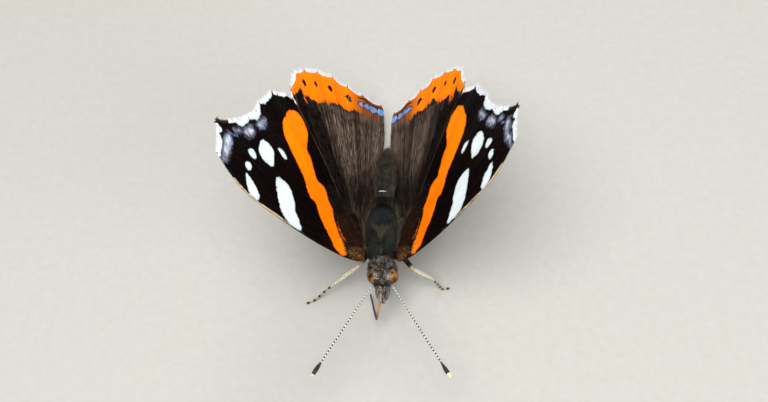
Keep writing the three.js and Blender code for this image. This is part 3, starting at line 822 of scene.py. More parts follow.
def makeWing(name, wing, shared, side, material):
    flat, half = shared["flat"], shared["half"]
    middle = wingHeight(wing, flat)
    faces = [placeOnWing(wing, side, flat, middle + off).reshape(shared["shape"]) for off in (half, -half)]
    fan = {"fan": np.tile(fanOf(flat, side), (2, 1))}
    shape = closedSheet(*faces)
    makePiece(name, shape, material, [name], shared["values"], fan, shared["places"], sharp=True)


wingColours = {
    "black": "#060304",
    "blackBrown": "#140b07",
    "orange": "#ff8503",
    "orangeDeep": "#ea5a06",
    "orangeLight": "#ffa11f",
    "white": "#dbe6e7",
    "whiteCool": "#c5d3d7",
    "lavender": "#80849a",
    "smoke": "#ccd3db",
    "blue": "#6f90c4",
    "cream": "#c4b189",
    "hindDark": "#100a07",
    "hindBrown": "#5c4a3e",
    "hindPale": "#8f7866",
}


def wingNodes(tree, fineness, veinFrom, veinTo):
    # what both wings' looks are built on: the fan, its two measures, scales, hair streaks and veins
    fan = direction(tree, "fan")
    parts = put(tree, "SeparateXYZ", {"Vector": fan}).outputs
    rows = useGroup(tree, scaleRows, Fan=fan, Rows=7.0)
    streak = useGroup(tree, hairStreaks, Fan=fan, Fineness=fineness)["Streak"]
    vein = step(tree, field(tree, "vein"), veinFrom, veinTo, 1.0, 0.0)
    return fan, parts["X"], parts["Y"], rows, streak, vein


def wingFinish(tree, rows, streak, upper, under, relief):
    # the colour of each face, duller between scales, with the relief of hair over scales
    return {
        "colour": blend(tree, field(tree, "face"), under, upper),
        "roughness": step(tree, rows["Shade"], 0.0, 1.0, 0.5, 0.72),
        "bump": (sums(tree, "MULTIPLY_ADD", streak, relief, rows["Height"]), 0.35, 0.06, False),
    }


def forewingLook(tree):
    fan, _, radius, rows, streak, vein = wingNodes(tree, 2.4, 0.03, 0.12)
    colours = wingColours
    whiteMask = mark(tree, "white", fan, 0.42, 0.07)
    # Upper side
    rootHair = times(tree, step(tree, radius, 3.5, 13.0, 1.0, 0.0), step(tree, streak, 0.3, 0.7, 0.35, 1.0))
    hindEdge = times(tree, mark(tree, "hind", fan, 0.3, 0.1), step(tree, streak, 0.3, 0.6, 0.2, 0.9))
    grains = sums(tree, "MULTIPLY_ADD", rows["Shade"], 0.5, times(tree, streak, 0.5))
    smoke = noise(tree, stretched(tree, fan, (1.6, 0.8, 1.0)), 1.2, 3.0, 0.6)
    wellInside = step(tree, field(tree, "lavender"), 0.0, -0.5)
    pale = times(tree, wellInside, step(tree, smoke, 0.42, 0.6, 0.25, 1.0))
    smoky = layered(
        tree, colours["lavender"],
        (pale, colours["smoke"]),
        (step(tree, grains, 0.25, 0.6, 0.35, 0.0), colours["black"]),
    )
    smokyMask = times(tree, mark(tree, "lavender", fan, 0.9, 0.45), step(tree, smoke, 0.3, 0.5, 0.25, 1.0))
    ground = layered(
        tree, colours["black"],
        (step(tree, streak, 0.42, 0.68, 0.0, 0.55), colours["blackBrown"]),
        (rootHair, "#2c190f"),
        (times(tree, vein, 0.3), "#1a110e"),
        (hindEdge, "#5d4b3c"),
        (smokyMask, smoky),
        (times(tree, mark(tree, "blue", fan, 0.3, 0.12), step(tree, grains, 0.25, 0.5)), colours["blue"]),
    )
    orange = layered(
        tree, colours["orange"],
        (step(tree, field(tree, "band"), -0.5, 0.05, 0.0, 0.6), colours["orangeDeep"]),
        (step(tree, streak, 0.45, 0.7, 0.0, 0.35), colours["orangeLight"]),
        (step(tree, radius, 12.0, 23.0, 0.32, 0.0), colours["orangeDeep"]),
        (step(tree, radius, 5.0, 9.0, 0.5, 0.0), "#e6a032"),
        (times(tree, vein, 0.25), "#a34405"),
        (step(tree, rows["Shade"], 0.0, 1.0, 0.16, 0.0), "#c65200"),
    )
    white = layered(
        tree, colours["white"],
        (step(tree, field(tree, "white"), -0.5, 0.02), colours["whiteCool"]),
        (times(tree, vein, 0.1), "#9aa3ae"),
        (step(tree, rows["Shade"], 0.0, 1.0, 0.1, 0.0), "#b4bfca"),
    )
    upper = layered(
        tree, ground,
        (mark(tree, "band", fan, 0.34, 0.06), orange),
        (whiteMask, white),
        (mark(tree, "front", fan, 0.2, 0.08), colours["cream"]),
    )
    # Underside
    mottle = noise(tree, stretched(tree, fan, (0.9, 0.8, 1.0)), 1.1, 4.0, 0.65)
    apex = layered(
        tree, "#54422f",
        (step(tree, mottle, 0.4, 0.62), "#a38f77"),
        (step(tree, streak, 0.5, 0.7, 0.0, 0.5), "#2c2019"),
    )
    red = blend(tree, step(tree, streak, 0.4, 0.7), "#c4452a", "#dd8157")
    under = layered(
        tree, "#17100e",
        (step(tree, mottle, 0.35, 0.65), "#2b1d17"),
        (step(tree, radius, 3.0, 12.0, 0.6, 0.0), "#4a2c20"),
        (mark(tree, "lavender", fan, 1.6, 0.6), apex),
        (mark(tree, "blue", fan, 0.6, 0.25), "#4a6c8f"),
        (mark(tree, "band", fan, 0.5, 0.12, -0.1), red),
        (mark(tree, "extra", fan, 0.2, 0.1, 0.22), "#8a7458"),
        (mark(tree, "extra", fan, 0.2, 0.08), "#14100f"),
        (whiteMask, "#e6e4de"),
        (times(tree, vein, 0.4), "#5b4634"),
        (step(tree, rows["Shade"], 0.0, 1.0, 0.25, 0.0), "#120d0b"),
    )
    return wingFinish(tree, rows, streak, upper, under, 1.4)


def hindwingLook(tree):
    fan, across, radius, rows, streak, vein = wingNodes(tree, 2.8, 0.04, 0.16)
    colours = wingColours
    rim = field(tree, "rim")
    white = times(tree, mark(tree, "white", fan, 0.3, 0.06), step(tree, field(tree, "vein"), 0.12, 0.34))
    # Upper side
    inner = times(tree, step(tree, across, 20.0, 26.0), step(tree, radius, 16.0, 7.0))
    inward = times(tree, step(tree, across, 11.3, 16.0), step(tree, radius, 4.0, 11.0, 0.1, 1.0))
    inward = times(tree, inward, sums(tree, "SUBTRACT", 1.0, times(tree, inner, 0.6)))
    nearBand = step(tree, field(tree, "band"), 0.1, 1.5, 0.92, 0.0)
    ground = layered(
        tree, colours["hindDark"],
        (inward, colours["hindBrown"]),
        (times(tree, step(tree, streak, 0.42, 0.66), inward), colours["hindPale"]),
        (times(tree, nearBand, step(tree, across, 21.0, 24.0, 1.0, 0.15)), "#0e0907"),
        (step(tree, streak, 0.5, 0.3, 0.0, 0.5), "#1a120d"),
        (times(tree, vein, 0.3), "#8f7c6c"),
    )
    brown = blend(tree, step(tree, streak, 0.42, 0.62), "#6b3416", "#a85a1e")
    orange = layered(
        tree, colours["orange"],
        (step(tree, field(tree, "band"), -0.8, 0.05), "#f27508"),
        (step(tree, streak, 0.45, 0.7, 0.0, 0.45), colours["orangeLight"]),
        (times(tree, vein, 0.35), "#c25404"),
        (step(tree, rows["Shade"], 0.0, 1.0, 0.15, 0.0), "#c65200"),
        (step(tree, across, 20.8, 24.0, 0.0, 0.95), brown),
    )
    teeth = noise(tree, stretched(tree, fan, (0.85, 0.06, 1.0)), 1.0, 1.0)
    bandMask = mark(tree, "band", fan, 0.5, 0.07, sums(tree, "MULTIPLY_ADD", teeth, 2.4, -1.25))
    tailLine = step(tree, sums(tree, "ABSOLUTE", sums(tree, "SUBTRACT", rim, 0.95)), 0.04, 0.16, 1.0, 0.0)
    blue = layered(
        tree, "#7d8fc4",
        (step(tree, across, 23.6, 26.2), "#78a6de"),
        (step(tree, streak, 0.4, 0.62, 0.0, 0.45), "#b9c9ea"),
        (step(tree, rows["Shade"], 0.2, 0.9, 0.3, 0.0), "#3a3f63"),
    )
    upper = layered(
        tree, ground,
        (bandMask, orange),
        (times(tree, mark(tree, "lavender", fan, 0.5, 0.35), tailLine), "#23130c"),
        (mark(tree, "blue", fan, 0.3, 0.1, 0.15), "#20141a"),
        (mark(tree, "extra", fan, 0.14, 0.06), "#1c0a05"),
        (mark(tree, "blue", fan, 0.75, 0.1), blue),
        (times(tree, step(tree, rim, 0.55, 0.75, 1.0, 0.0), vein), "#1a0f0a"),
        (white, "#f8f6f0"),
    )
    # Underside
    mottle = noise(tree, stretched(tree, fan, (0.8, 0.7, 1.0)), 1.3, 5.0, 0.7)
    wave = noise(tree, stretched(tree, fan, (0.5, 1.5, 1.0)), 1.2, 3.0, 0.6)
    under = layered(
        tree, "#1b1410",
        (step(tree, mottle, 0.36, 0.64), "#4c3d31"),
        (step(tree, wave, 0.5, 0.68, 0.0, 0.45), "#7a6a58"),
        (step(tree, mottle, 0.48, 0.4, 0.0, 0.6), "#0f0b0a"),
        (mark(tree, "lavender", fan, 1.2, 0.2), "#120d0b"),
        (mark(tree, "band", fan, 1.1, 0.3), "#c9b48d"),
        (mark(tree, "blue", fan, 1.0, 0.4), "#4c5961"),
        (mark(tree, "extra", fan, 0.6, 0.2, 0.24), "#5f5141"),
        (mark(tree, "extra", fan, 0.4, 0.12), "#1c2226"),
        (mark(tree, "extra", fan, 0.4, 0.2, -0.38), "#45606f"),
        (step(tree, rim, 0.9, 1.5, 0.55, 0.0), "#6e5c4a"),
        (times(tree, vein, 0.55), "#7c6a55"),
        (step(tree, rows["Shade"], 0.0, 1.0, 0.3, 0.0), "#120d0b"),
        (white, "#d9d2c4"),
    )
    return wingFinish(tree, rows, streak, upper, under, 2.0)


forewingScales = newMaterial("forewingScales", forewingLook)
hindwingScales = newMaterial("hindwingScales", hindwingLook)
flatForewing = flatWing(forewing, forewingFields)
flatHindwing = flatWing(hindwing, hindwingFields)
for label, side in sides.items():
    makeWing("forewing_" + label, forewing, flatForewing, side, forewingScales)
    makeWing("hindwing_" + label, hindwing, flatHindwing, side, hindwingScales)
print("wings made")


# Rim scales

fringeLook = {
    "spacing": 0.045,
    "jitter": 0.0006,
    "length": 0.7,
    "vary": 0.2,
    "width": 0.13,
    "thick": 0.12,
    "spread": 0.14,
    "lift": 0.16,
    "curl": 1.0,
    "rings": 2,
    "buried": 0.25,
    "layers": 2,
    "apart": 0.03,
    "darkLength": 0.8,
    "hook": {"place": (32.1, 2.1), "reach": 0.55, "longer": 1.1},    # the dark corner of the forewing's tip
}


def rimLook(tree):
    shade = field(tree, "tuftShade")
    white = blend(tree, shade, "#f2f4f5", "#c4c8d0")
    dark = blend(tree, shade, "#0d090a", "#3a2c26")
    return {
        "colour": blend(tree, field(tree, "pale"), dark, white),
        "roughness": step(tree, field(tree, "tuftLength"), 0.0, 1.0, 0.65, 0.8),
        "bump": (noise(tree, direction(tree, "grain"), 3.0), 0.3, 0.04, False),
    }


def makeFringe(name, wing, side, material, paleAt):
    # layers of blades all along the rim, pointing away from the wing
    look = fringeLook
    line = marginLine(wing, wingSheet["fringe"])
    each = int(lengthAlong(line)[-1] / look["spacing"])
    count = each * look["layers"]
    share = (np.arange(count) % each) / each + random.normal(0, look["jitter"], count)
    share = np.clip(share, 0.0, 1.0) * (len(line) - 1)
    number = np.arange(len(line))
    roots = columnsAt(share, number, line)
    tangent = unit(columnsAt(share, number, unit(np.gradient(line, axis=0))))
    outward = np.stack([tangent[:, 1], -tangent[:, 0]], axis=1)
    toVeinEnd = np.linalg.norm(roots[:, None] - np.array(wing["margin"])[None], axis=2).min(1)
    pale = paleAt(roots, toVeinEnd)
    layer = np.arange(count) // each
    height = wingHeight(wing, roots) + (layer - 0.5) * look["apart"]
    starts = placeOnWing(wing, side, roots - outward * look["buried"], height)
    upper = wingAxes(side)[1] * np.where(layer == 1, 1, -1)[:, None]
    toHook = np.linalg.norm(roots - look["hook"]["place"], axis=1)
    hooked = 1 + look["hook"]["longer"] * np.exp(-((toHook / look["hook"]["reach"]) ** 2))
    look = dict(look, stretch=np.where(pale > 0.5, 1.0, look["darkLength"] * hooked))
    tufts = makeTufts(starts, turnOnWing(side, outward), upper, onWingMap(roots), look)
    grain = np.hstack([roots, random.uniform(0, 9, (count, 1))])
    makeTuftPiece(name, tufts, material, {"pale": pale}, grain, sharp=True)


def forewingPale(roots, toVeinEnd):
    # pale where the rim's white markings run out, but for a few scales
    inMark = distanceToShapes(roots, forewingMarks["rim"]) < 0.16
    return inMark.astype(float) * (random.uniform(0, 1, len(roots)) > 0.06)


def hindwingPale(roots, toVeinEnd):
    return (toVeinEnd > 0.44 + random.normal(0, 0.12, len(roots))).astype(float)


rimScales = newMaterial("rimScales", rimLook)
for label, side in sides.items():
    makeFringe("forewing_fringe_" + label, forewing, side, rimScales, forewingPale)
    makeFringe("hindwing_fringe_" + label, hindwing, side, rimScales, hindwingPale)
print("rim scales made")


# Long hair on the wings

wingHair = {
    # colours: dark, middle, light and red hairs; aim: the place that the hairs point away from
    "hind": {
        "count": 10500, "length": 3.2, "vary": 0.5, "width": 0.062, "thick": 0.4, "spread": 0.028,
        "lift": 0.06, "curl": 0.95, "rings": 3, "mixed": 0.15,
        "field": [
            (0.4, 1.2), (4.0, 2.0), (8.0, 4.8), (11.6, 8.0), (13.4, 10.6), (10.4, 12.2), (6.0, 14.0),
            (1.8, 15.4), (-2.4, 17.2), (-4.9, 19.4), (-5.1, 15.0), (-5.0, 11.0), (-4.0, 7.6), (-1.8, 5.4),
            (-0.4, 3.6),
        ],
        "aim": (-1.2, -3.5),
        # painted shade: the hair of the insect's left wing is darkened much more than the right's, as light
        # falls unevenly on the two sides
        "paintedSideShade": {1: 0.52, -1: 0.95},
        "colours": ("#2a1f19", "#716053", "#a08e80", "#6b3a22"),
    },
    "fore": {
        "count": 4600, "length": 1.4, "vary": 0.5, "width": 0.065, "thick": 0.4, "spread": 0.18,
        "lift": 0.16, "curl": 0.9, "rings": 3, "mixed": 0.35,
        "field": [
            (-0.6, 0.6), (1.2, -0.5), (3.4, -0.9), (3.6, 0.0), (5.4, 1.8), (6.6, 3.4), (7.6, 5.6),
            (5.0, 5.4), (2.6, 4.0), (-0.6, 2.9),
        ],
        "aim": (-3.0, 0.0),
        "colours": ("#0a0705", "#21160e", "#6a4c33", "#5c301c"),
    },
    "root": {
        "count": 900, "length": 0.62, "vary": 0.6, "width": 0.055, "thick": 0.4, "spread": 0.9, "lift": 0.9,
        "curl": 0.8, "rings": 3, "mixed": 0.8,
        "field": [
            (-0.6, 0.1), (0.9, -0.7), (2.4, -1.0), (3.3, -0.95), (2.6, -0.2), (1.4, 0.5), (0.2, 1.0),
            (-0.6, 0.9),
        ],
        "aim": (-3.0, 0.0),
        "colours": ("#0d0805", "#452d1b", "#dcae70", "#8a4c2a"),
    },
}
hairRule = {
    "above": 0.04,               # the roots lie this far over the middle of the wing
    "overGold": 0.3,             # the share kept of dark hairs that would reach over orange scales
    "toBand": 0.75,              # a hair's longest reach toward the hindwing's band, as a share of the way
}


def scatterIn(outline, count):
    # random places inside an outline on the flat wing
    outline = np.array(outline, float)
    low, high = outline.min(0), outline.max(0)
    tried = random.uniform(low, high, (count * 5, 2))
    return tried[distanceToShape(tried, outline) < 0][:count]


def hairMaterial(name, dark, middle, light, red):
    def look(tree):
        shade, tone, along = (field(tree, key) for key in ("tuftShade", "tone", "tuftLength"))
        colour = layered(
            tree, dark,
            (step(tree, shade, 0.0, 0.6), middle),
            # tone holds the hairs' own streaks and, on the hindwings, the painted shade of each side
            (times(tree, step(tree, shade, 0.55, 1.0), tone), light),
            (step(tree, tone, 0.8, 0.0, 0.0, 0.95), "#080403"),
            (field(tree, "redness"), red),
            (field(tree, "gold"), "#e8861c"),
            # painted shade at the roots, under the other hairs
            (step(tree, along, 0.0, 0.6, 0.3, 0.0), "#0d0907"),
        )
        return {"colour": colour, "roughness": step(tree, along, 0.0, 1.0, 0.62, 0.48)}

    return newMaterial(name, look, Specular_IOR_Level=0.08)


def evenly(amount):
    # the same amount at every root
    return lambda roots, reach=0.0: np.full(len(roots), amount)


def makeWingHair(
    name, kind, wing, side, material, toneAt=evenly(1.0), rednessAt=evenly(0.0), goldAt=evenly(0.0)
):
    look = wingHair[kind]
    roots = scatterIn(look["field"], look["count"])
    gold = goldAt(roots)
    reaching = (gold == 0) & (gold != goldAt(roots, look["length"] * 0.6))
    thinned = reaching & (random.uniform(0, 1, len(roots)) > hairRule["overGold"])
    roots, gold = roots[~thinned], gold[~thinned]
    count = len(roots)
    starts = placeOnWing(wing, side, roots, wingHeight(wing, roots) + hairRule["above"])
    upper = np.tile(wingAxes(side)[1], (count, 1))
    room = distanceToShape(roots, hindwingMarks["band"]) if wing is hindwing else np.full(count, farAway)
    stretch = hairRule["toBand"] * room / look["length"] + random.normal(0, 0.05, count)
    cut = dict(look, stretch=np.clip(stretch, 0.15, 1))
    tufts = makeTufts(starts, turnOnWing(side, roots - np.array(look["aim"])), upper, onWingMap(roots), cut)
    shade = streaks(roots, look["aim"], 0.13)
    shade += look["mixed"] * (random.uniform(0, 1, count) - shade)
    fields = {
        "tuftShade": shade,
        # tone times the painted shade of the wing's side
        "tone": np.clip(toneAt(roots) * look.get("paintedSideShade", {}).get(side, 1.0), 0, 1),
        "redness": rednessAt(roots),
        "gold": gold,
    }
    makeTuftPiece(name, tufts, material, fields)


streakNoise = {width: random.uniform(0, 1, int(110 / width)) for width in (0.9, 0.3, 0.13)}


def streaks(roots, aim, width):
    # 0 to 1, the same all along a line out from the place the hairs point away from
    turn = np.arctan2(roots[:, 1] - aim[1], roots[:, 0] - aim[0]) * fanWidth
    row = streakNoise[width]
    return np.interp(turn, np.linspace(-52, 52, len(row)), row)


def hindTone(roots):
    # dark along the forewing, paler toward the body, dark again by the orange and in the trough by the body
    across, along = fanOf(roots)[:, :2].T
    coarse, fine = (streaks(roots, wingHair["hind"]["aim"], width) for width in (0.9, 0.3))
    pale = smoothStep(across + 3.0 * (fine - 0.5), 10.5, 18.5) * (0.12 + 0.88 * smoothStep(along, 4.5, 12.0))
    pale = np.maximum(pale, 0.4 * fine**3)
    trough = smoothStep(across + 1.5 * (fine - 0.5), 20.0, 26.0) * smoothStep(along, 17.0, 9.0)
    fromBand = smoothStep(distanceToShape(roots, hindwingMarks["band"]), 0.4, 2.4)
    fromBand = np.maximum(fromBand, smoothStep(across, 18.0, 22.0))
    tone = pale * (0.3 + 0.7 * fromBand) * (1 - 0.6 * trough) * (0.25 + 0.85 * coarse + 0.5 * fine)
    return np.clip(tone + random.normal(0, 0.04, len(roots)), 0, 1)


def foreTone(roots):
    aim = wingHair["fore"]["aim"]
    return np.clip(0.7 * streaks(roots, aim, 0.3) + random.normal(0.1, 0.1, len(roots)), 0, 1)


def foreRedness(roots):
    near = smoothStep(np.hypot(roots[:, 0] - 1.5, roots[:, 1] - 1.0), 5.0, 1.0)
    return near * 0.45 * random.uniform(0, 1, len(roots)) ** 1.5


def foreGold(roots, reach=0.0):
    # one over the orange band and the line beside it, or within reach of them
    line = distanceToStroke(roots, forewingMarks["sideLine"], 0.18)
    return (np.minimum(distanceToShape(roots, forewingMarks["band"]), line) < reach).astype(float)


def rootRedness(roots):
    return 0.6 * random.uniform(0, 1, len(roots)) ** 2


hindHair, foreHair, rootHair = (
    hairMaterial(name, *wingHair[kind]["colours"])
    for name, kind in (("hindwingHair", "hind"), ("forewingHair", "fore"), ("rootHair", "root"))
)
for label, side in sides.items():
    foreLook = (foreTone, foreRedness, foreGold)
    makeWingHair("hindwing_hair_" + label, "hind", hindwing, side, hindHair, hindTone)
    makeWingHair("forewing_hair_" + label, "fore", forewing, side, foreHair, *foreLook)
    makeWingHair("forewing_root_" + label, "root", forewing, side, rootHair, rednessAt=rootRedness)
print("wing hair made")


# Body skin

trunk = {
    # place along the body, middle x, middle z, half width, half height
    "stations": [
        (-6.0, 0.3, -1.0, 0.3, 0.3), (-5.6, 0.3, -0.95, 0.85, 0.8), (-4.9, 0.3, -0.8, 1.15, 1.1),
        (-4.2, 0.28, -0.75, 1.22, 1.14), (-3.5, 0.2, -0.72, 1.12, 1.06), (-3.0, 0.1, -0.65, 0.98, 0.92),
        (-2.5, 0.0, -0.6, 1.12, 1.1), (-1.5, 0.0, -0.8, 1.72, 1.72), (0.3, 0.0, -0.9, 2.12, 2.17),
        (2.4, 0.0, -0.95, 2.12, 2.22), (4.2, 0.0, -1.0, 1.62, 1.78), (5.3, 0.0, -1.1, 0.98, 1.08),
        (6.0, 0.0, -1.15, 0.85, 0.9), (7.4, 0.0, -1.2, 1.17, 1.17), (9.8, 0.0, -1.4, 1.24, 1.22),
        (12.5, 0.0, -1.85, 1.08, 1.1), (14.5, 0.0, -2.28, 0.76, 0.78), (15.4, 0.0, -2.5, 0.4, 0.42),
        (15.65, 0.0, -2.56, 0.15, 0.15),
    ],
    "rings": 320,
    "around": 96,
    "segmentFirst": 6.4,
    "segmentLength": 1.28,
    "segmentDip": 0.05,
}


trunkFront, trunkBack = trunk["stations"][0][0], trunk["stations"][-1][0]


def trunkPoint(along, angle):
    # an oval ring at each place: middle + half width cos + half height sin, dented between segments
    middleX, middleZ, halfWidth, halfHeight = profileAt(trunk["stations"], along)
    phase = (along - trunk["segmentFirst"]) / trunk["segmentLength"]
    dent = trunk["segmentDip"] * np.exp(-(((phase - np.round(phase)) / 0.14) ** 2))
    dent = dent * smoothStep(along, 5.8, 6.6)
    x = middleX + (halfWidth - dent) * np.cos(angle)
    z = middleZ + (halfHeight - dent) * np.sin(angle)
    return np.stack([x, along, z], axis=-1)


def onTrunkMap(along, angle):
    place = (along - trunkFront) / (trunkBack - trunkFront)
    return insideMap(np.stack([angle / (2 * math.pi), place], axis=1))


def skinLook(tree):
    place = objectPlace(tree)
    patches = noise(tree, place, 1400.0, 4.0)
    grain = noise(tree, place, 9000.0, 3.0)
    return {
        "colour": blend(tree, step(tree, patches, 0.35, 0.65), "#0d0c0c", "#211b18"),
        "roughness": step(tree, grain, 0.3, 0.7, 0.4, 0.65),
        "bump": (grain, 0.4, 0.05, False),
    }


def makeSkin(material):
    spread = np.linspace(trunkFront, trunkBack, trunk["rings"])
    along, turn = np.meshgrid(spread, ovalAngles(trunk["around"]), indexing="ij")
    shape = closedRings(trunkPoint(along, turn))
    places = onTrunkMap(np.append(along, [trunkFront, trunkBack]), np.append(turn, [math.pi, math.pi]))
    makePiece(
        "body_skin", shape, material, ["thorax", "abdomen", "head"], bakePlaces=places
    )


bodySkin = newMaterial("bodySkin", skinLook, Specular_IOR_Level=0.35)
makeSkin(bodySkin)
print("skin made")


# Body coat

bodyCoats = {
    # heights: how far down and up each side the hair grows, -1 under the body and 1 on its back
    "thorax": {
        "span": (-2.9, 5.6), "heights": (-1, 1), "back": 1.0, "out": 0.0, "count": 16000, "length": 0.68,
        "vary": 0.5, "width": 0.05, "thick": 0.5, "spread": 0.2, "lift": 0.5, "curl": 0.5, "rings": 2,
        "slot": "thorax_fur",
    },
    "flank": {
        "span": (-1.6, 5.5), "heights": (-0.7, 0.5), "back": 0.8, "out": 0.5, "count": 5200, "length": 1.75,
        "vary": 0.45, "width": 0.06, "thick": 0.5, "spread": 0.22, "lift": 0.25, "curl": 0.9, "rings": 3,
        "slot": "thorax_fur",
    },
    "abdomen": {
        "span": (5.6, 15.6), "heights": (-1, 1), "back": 1.0, "out": 0.0, "count": 15500, "length": 0.8,
        "vary": 0.45, "width": 0.06, "thick": 0.4, "spread": 0.25, "lift": 0.5, "curl": 0.45, "rings": 2,
        "slot": "abdomen_scales",
    },
    "head": {
        "span": (-5.95, -2.95), "heights": (-1, 1), "back": 0.5, "out": 0.6, "count": 11500, "length": 0.72,
        "vary": 0.5, "width": 0.045, "thick": 0.5, "spread": 0.6, "lift": 0.4, "curl": 0.8, "rings": 2,
        "slot": "head_hair",
    },
}
head = {"middle": (0.3, -4.5, -0.75), "feelerRoot": (0.63, -0.8, 0.55)}     # the second from the first
thoraxMarks = {
    # on the back: a groove bowed forward, darkened as painted shade, a pale shield before it and a patch of
    # painted bluish sheen behind it
    "groove": (1.6, 0.4, 1.3),
    "shieldFront": -0.7,
    "shieldHalf": 1.2,
    "paintedSheen": (3.1, 1.2, 1.15),
    # where the painted shade of the waist hollow is darkest
    "waist": 5.4,
}


def onHead(place, side):
    return np.array(head["middle"]) + mirrored(place, side)


def coatMaterial(name, build):
    # build gives the colour from each tuft's shade and place; tufts are duller at the root and darkened
    # there as painted shade under the other tufts
    def look(tree):
        along = field(tree, "tuftLength")
        colour = build(tree, field(tree, "tuftShade"), objectPlace(tree))
        return {
            # painted shade at the roots
            "colour": blend(tree, step(tree, along, 0.0, 0.7, 0.4, 0.0), colour, "#080707"),
            "roughness": step(tree, along, 0.0, 1.0, 0.6, 0.42),
        }

    return newMaterial(name, look, Specular_IOR_Level=0.2)


def thoraxColour(tree, shade, place):
    # greenish black, with painted bluish sheen behind the groove and painted shade in the groove and waist,
    # olive on the shield and brown down the flanks
    patches = noise(tree, place, 700.0, 3.0)
    return layered(
        tree, "#1c1f1d",
        (step(tree, patches, 0.4, 0.62), "#3f4039"),
        (step(tree, shade, 0.6, 1.0, 0.0, 0.5), "#54554a"),
        # painted bluish sheen
        (times(tree, field(tree, "paintedSheen"), step(tree, shade, 0.0, 1.0, 0.5, 1.0)), "#445059"),
        (times(tree, field(tree, "shield"), step(tree, shade, 0.0, 0.8, 0.3, 1.0)), "#797466"),
        (times(tree, field(tree, "flank"), step(tree, shade, 0.2, 0.9, 0.3, 0.9)), "#4a3a2a"),
        # painted shade in the groove, its notch and the waist hollow
        (field(tree, "dark"), "#090808"),
    )


def flankColour(tree, shade, place):
    return layered(
        tree, "#181310",
        (step(tree, shade, 0.1, 0.5), "#40372b"),
        (step(tree, shade, 0.6, 0.95), "#6b604d"),
        # painted shade of the waist hollow and the groove
        (times(tree, field(tree, "dark"), 0.6), "#120e0b"),
    )


def abdomenColour(tree, shade, place):
    patches = noise(tree, place, 900.0, 3.0)
    return layered(
        tree, "#2b2721",
        (step(tree, patches, 0.4, 0.65), "#464037"),
        (step(tree, shade, 0.5, 1.0, 0.0, 0.7), "#7d7263"),
        (times(tree, field(tree, "flank"), 0.6), "#84715f"),
        # painted shade of the waist hollow
        (field(tree, "dark"), "#0c0a09"),
    )


def headColour(tree, shade, place):
    patches = noise(tree, place, 2300.0, 2.0)
    return layered(
        tree, "#0e0b0a",
        (step(tree, shade, 0.1, 0.5), "#3d342c"),
        (step(tree, shade, 0.5, 0.78), "#897c6f"),
        (step(tree, shade, 0.94, 0.97, 0.0, 0.8), "#c9c4bb"),
        (step(tree, patches, 0.45, 0.36, 0.0, 0.65), "#a59b8d"),
        (step(tree, patches, 0.49, 0.57, 0.0, 0.85), "#100c0a"),
        # white hairs round the feeler roots: partly the white scales there, partly painted highlight
        (field(tree, "pale"), "#f4f3ef"),
    )


def palpColour(tree, shade, place):
    return layered(
        tree, "#1c1612",
        (step(tree, shade, 0.2, 0.48), "#82705f"),
        (step(tree, shade, 0.54, 0.72), "#f4ece0"),
    )


def coatRoots(look):
    # random places on the skin, thinned where rings are narrow so that the coat is even
    low, high = look["span"]
    tried = random.uniform(low, high, look["count"] * 8)
    angle = random.uniform(0, 2 * math.pi, len(tried))
    girth = np.add(*profileAt(trunk["stations"], tried)[2:])
    kept = random.uniform(0, 1, len(tried)) < girth / girth.max()
    kept &= (np.sin(angle) >= look["heights"][0]) & (np.sin(angle) <= look["heights"][1])
    tried, angle = tried[kept][: look["count"]], angle[kept][: look["count"]]
    nudge = 0.02
    roots = trunkPoint(tried, angle)
    back = unit(trunkPoint(tried + nudge, angle) - trunkPoint(tried - nudge, angle))
    around = unit(trunkPoint(tried, angle + nudge) - trunkPoint(tried, angle - nudge))
    outward = unit(np.cross(back, around))
    middle = trunkPoint(tried, angle * 0) * (0, 1, 0)
    outward = outward * np.sign(((roots - middle - (0, 0, -1)) * outward).sum(1))[:, None]
    return tried, angle, roots, back, outward


def coatFields(roots, angle):
    # the marks are drawn a little behind the roots, where the hair tips lie
    x, y = roots[:, 0], roots[:, 1] + 0.3
    above = smoothStep(np.sin(angle), 0.0, 0.35)
    bowPlace, bowDepth, bowHalf = thoraxMarks["groove"]
    groove = bowPlace + bowDepth * (x / bowHalf) ** 2
    grooveShade = np.exp(-(((y - groove) / 0.16) ** 2)) * smoothStep(np.abs(x), bowHalf + 0.15, bowHalf - 0.2)
    notchShade = np.exp(-((x / 0.14) ** 2)) * smoothStep(np.abs(y - groove - 0.7), 0.8, 0.4)
    shieldFront = thoraxMarks["shieldFront"]
    half = thoraxMarks["shieldHalf"] * (y - shieldFront) / (bowPlace - shieldFront)
    inShield = smoothStep(half - np.abs(x), -0.1, 0.1) * smoothStep(groove - y, 0.0, 0.25)
    rim = 0.55 + 0.45 * np.exp(-(((half - np.abs(x) - 0.1) / 0.16) ** 2))
    # a patch of painted bluish sheen behind the groove
    sheenPlace, sheenLong, sheenWide = thoraxMarks["paintedSheen"]
    paintedSheen = np.exp(-(((y - sheenPlace) / sheenLong) ** 2) - (x / sheenWide) ** 2)
    # painted shade in the waist hollow, strongest on the back
    waist = smoothStep(np.abs(y - thoraxMarks["waist"]), 1.7, 0.8) * (0.35 + 0.65 * above)
    feelers = np.array([onHead(head["feelerRoot"], side) for side in sides.values()])
    toFeeler = np.linalg.norm(roots[:, None] - feelers[None], axis=2).min(1)
    return {
        "flank": smoothStep(np.abs(np.cos(angle)), 0.6, 0.92),
        "paintedSheen": paintedSheen * above * smoothStep(y - groove, 0.1, 0.35),
        "shield": inShield * rim * above,
        # painted shade in the waist hollow, the groove and its notch
        "dark": np.clip(waist * 0.9 + (grooveShade + notchShade * 0.6) * above, 0, 1),
        # pale: white hairs round the feeler roots, partly white scales and partly painted highlight
        "pale": (toFeeler < 0.36) * (random.uniform(0, 1, len(roots)) > 0.45),
    }


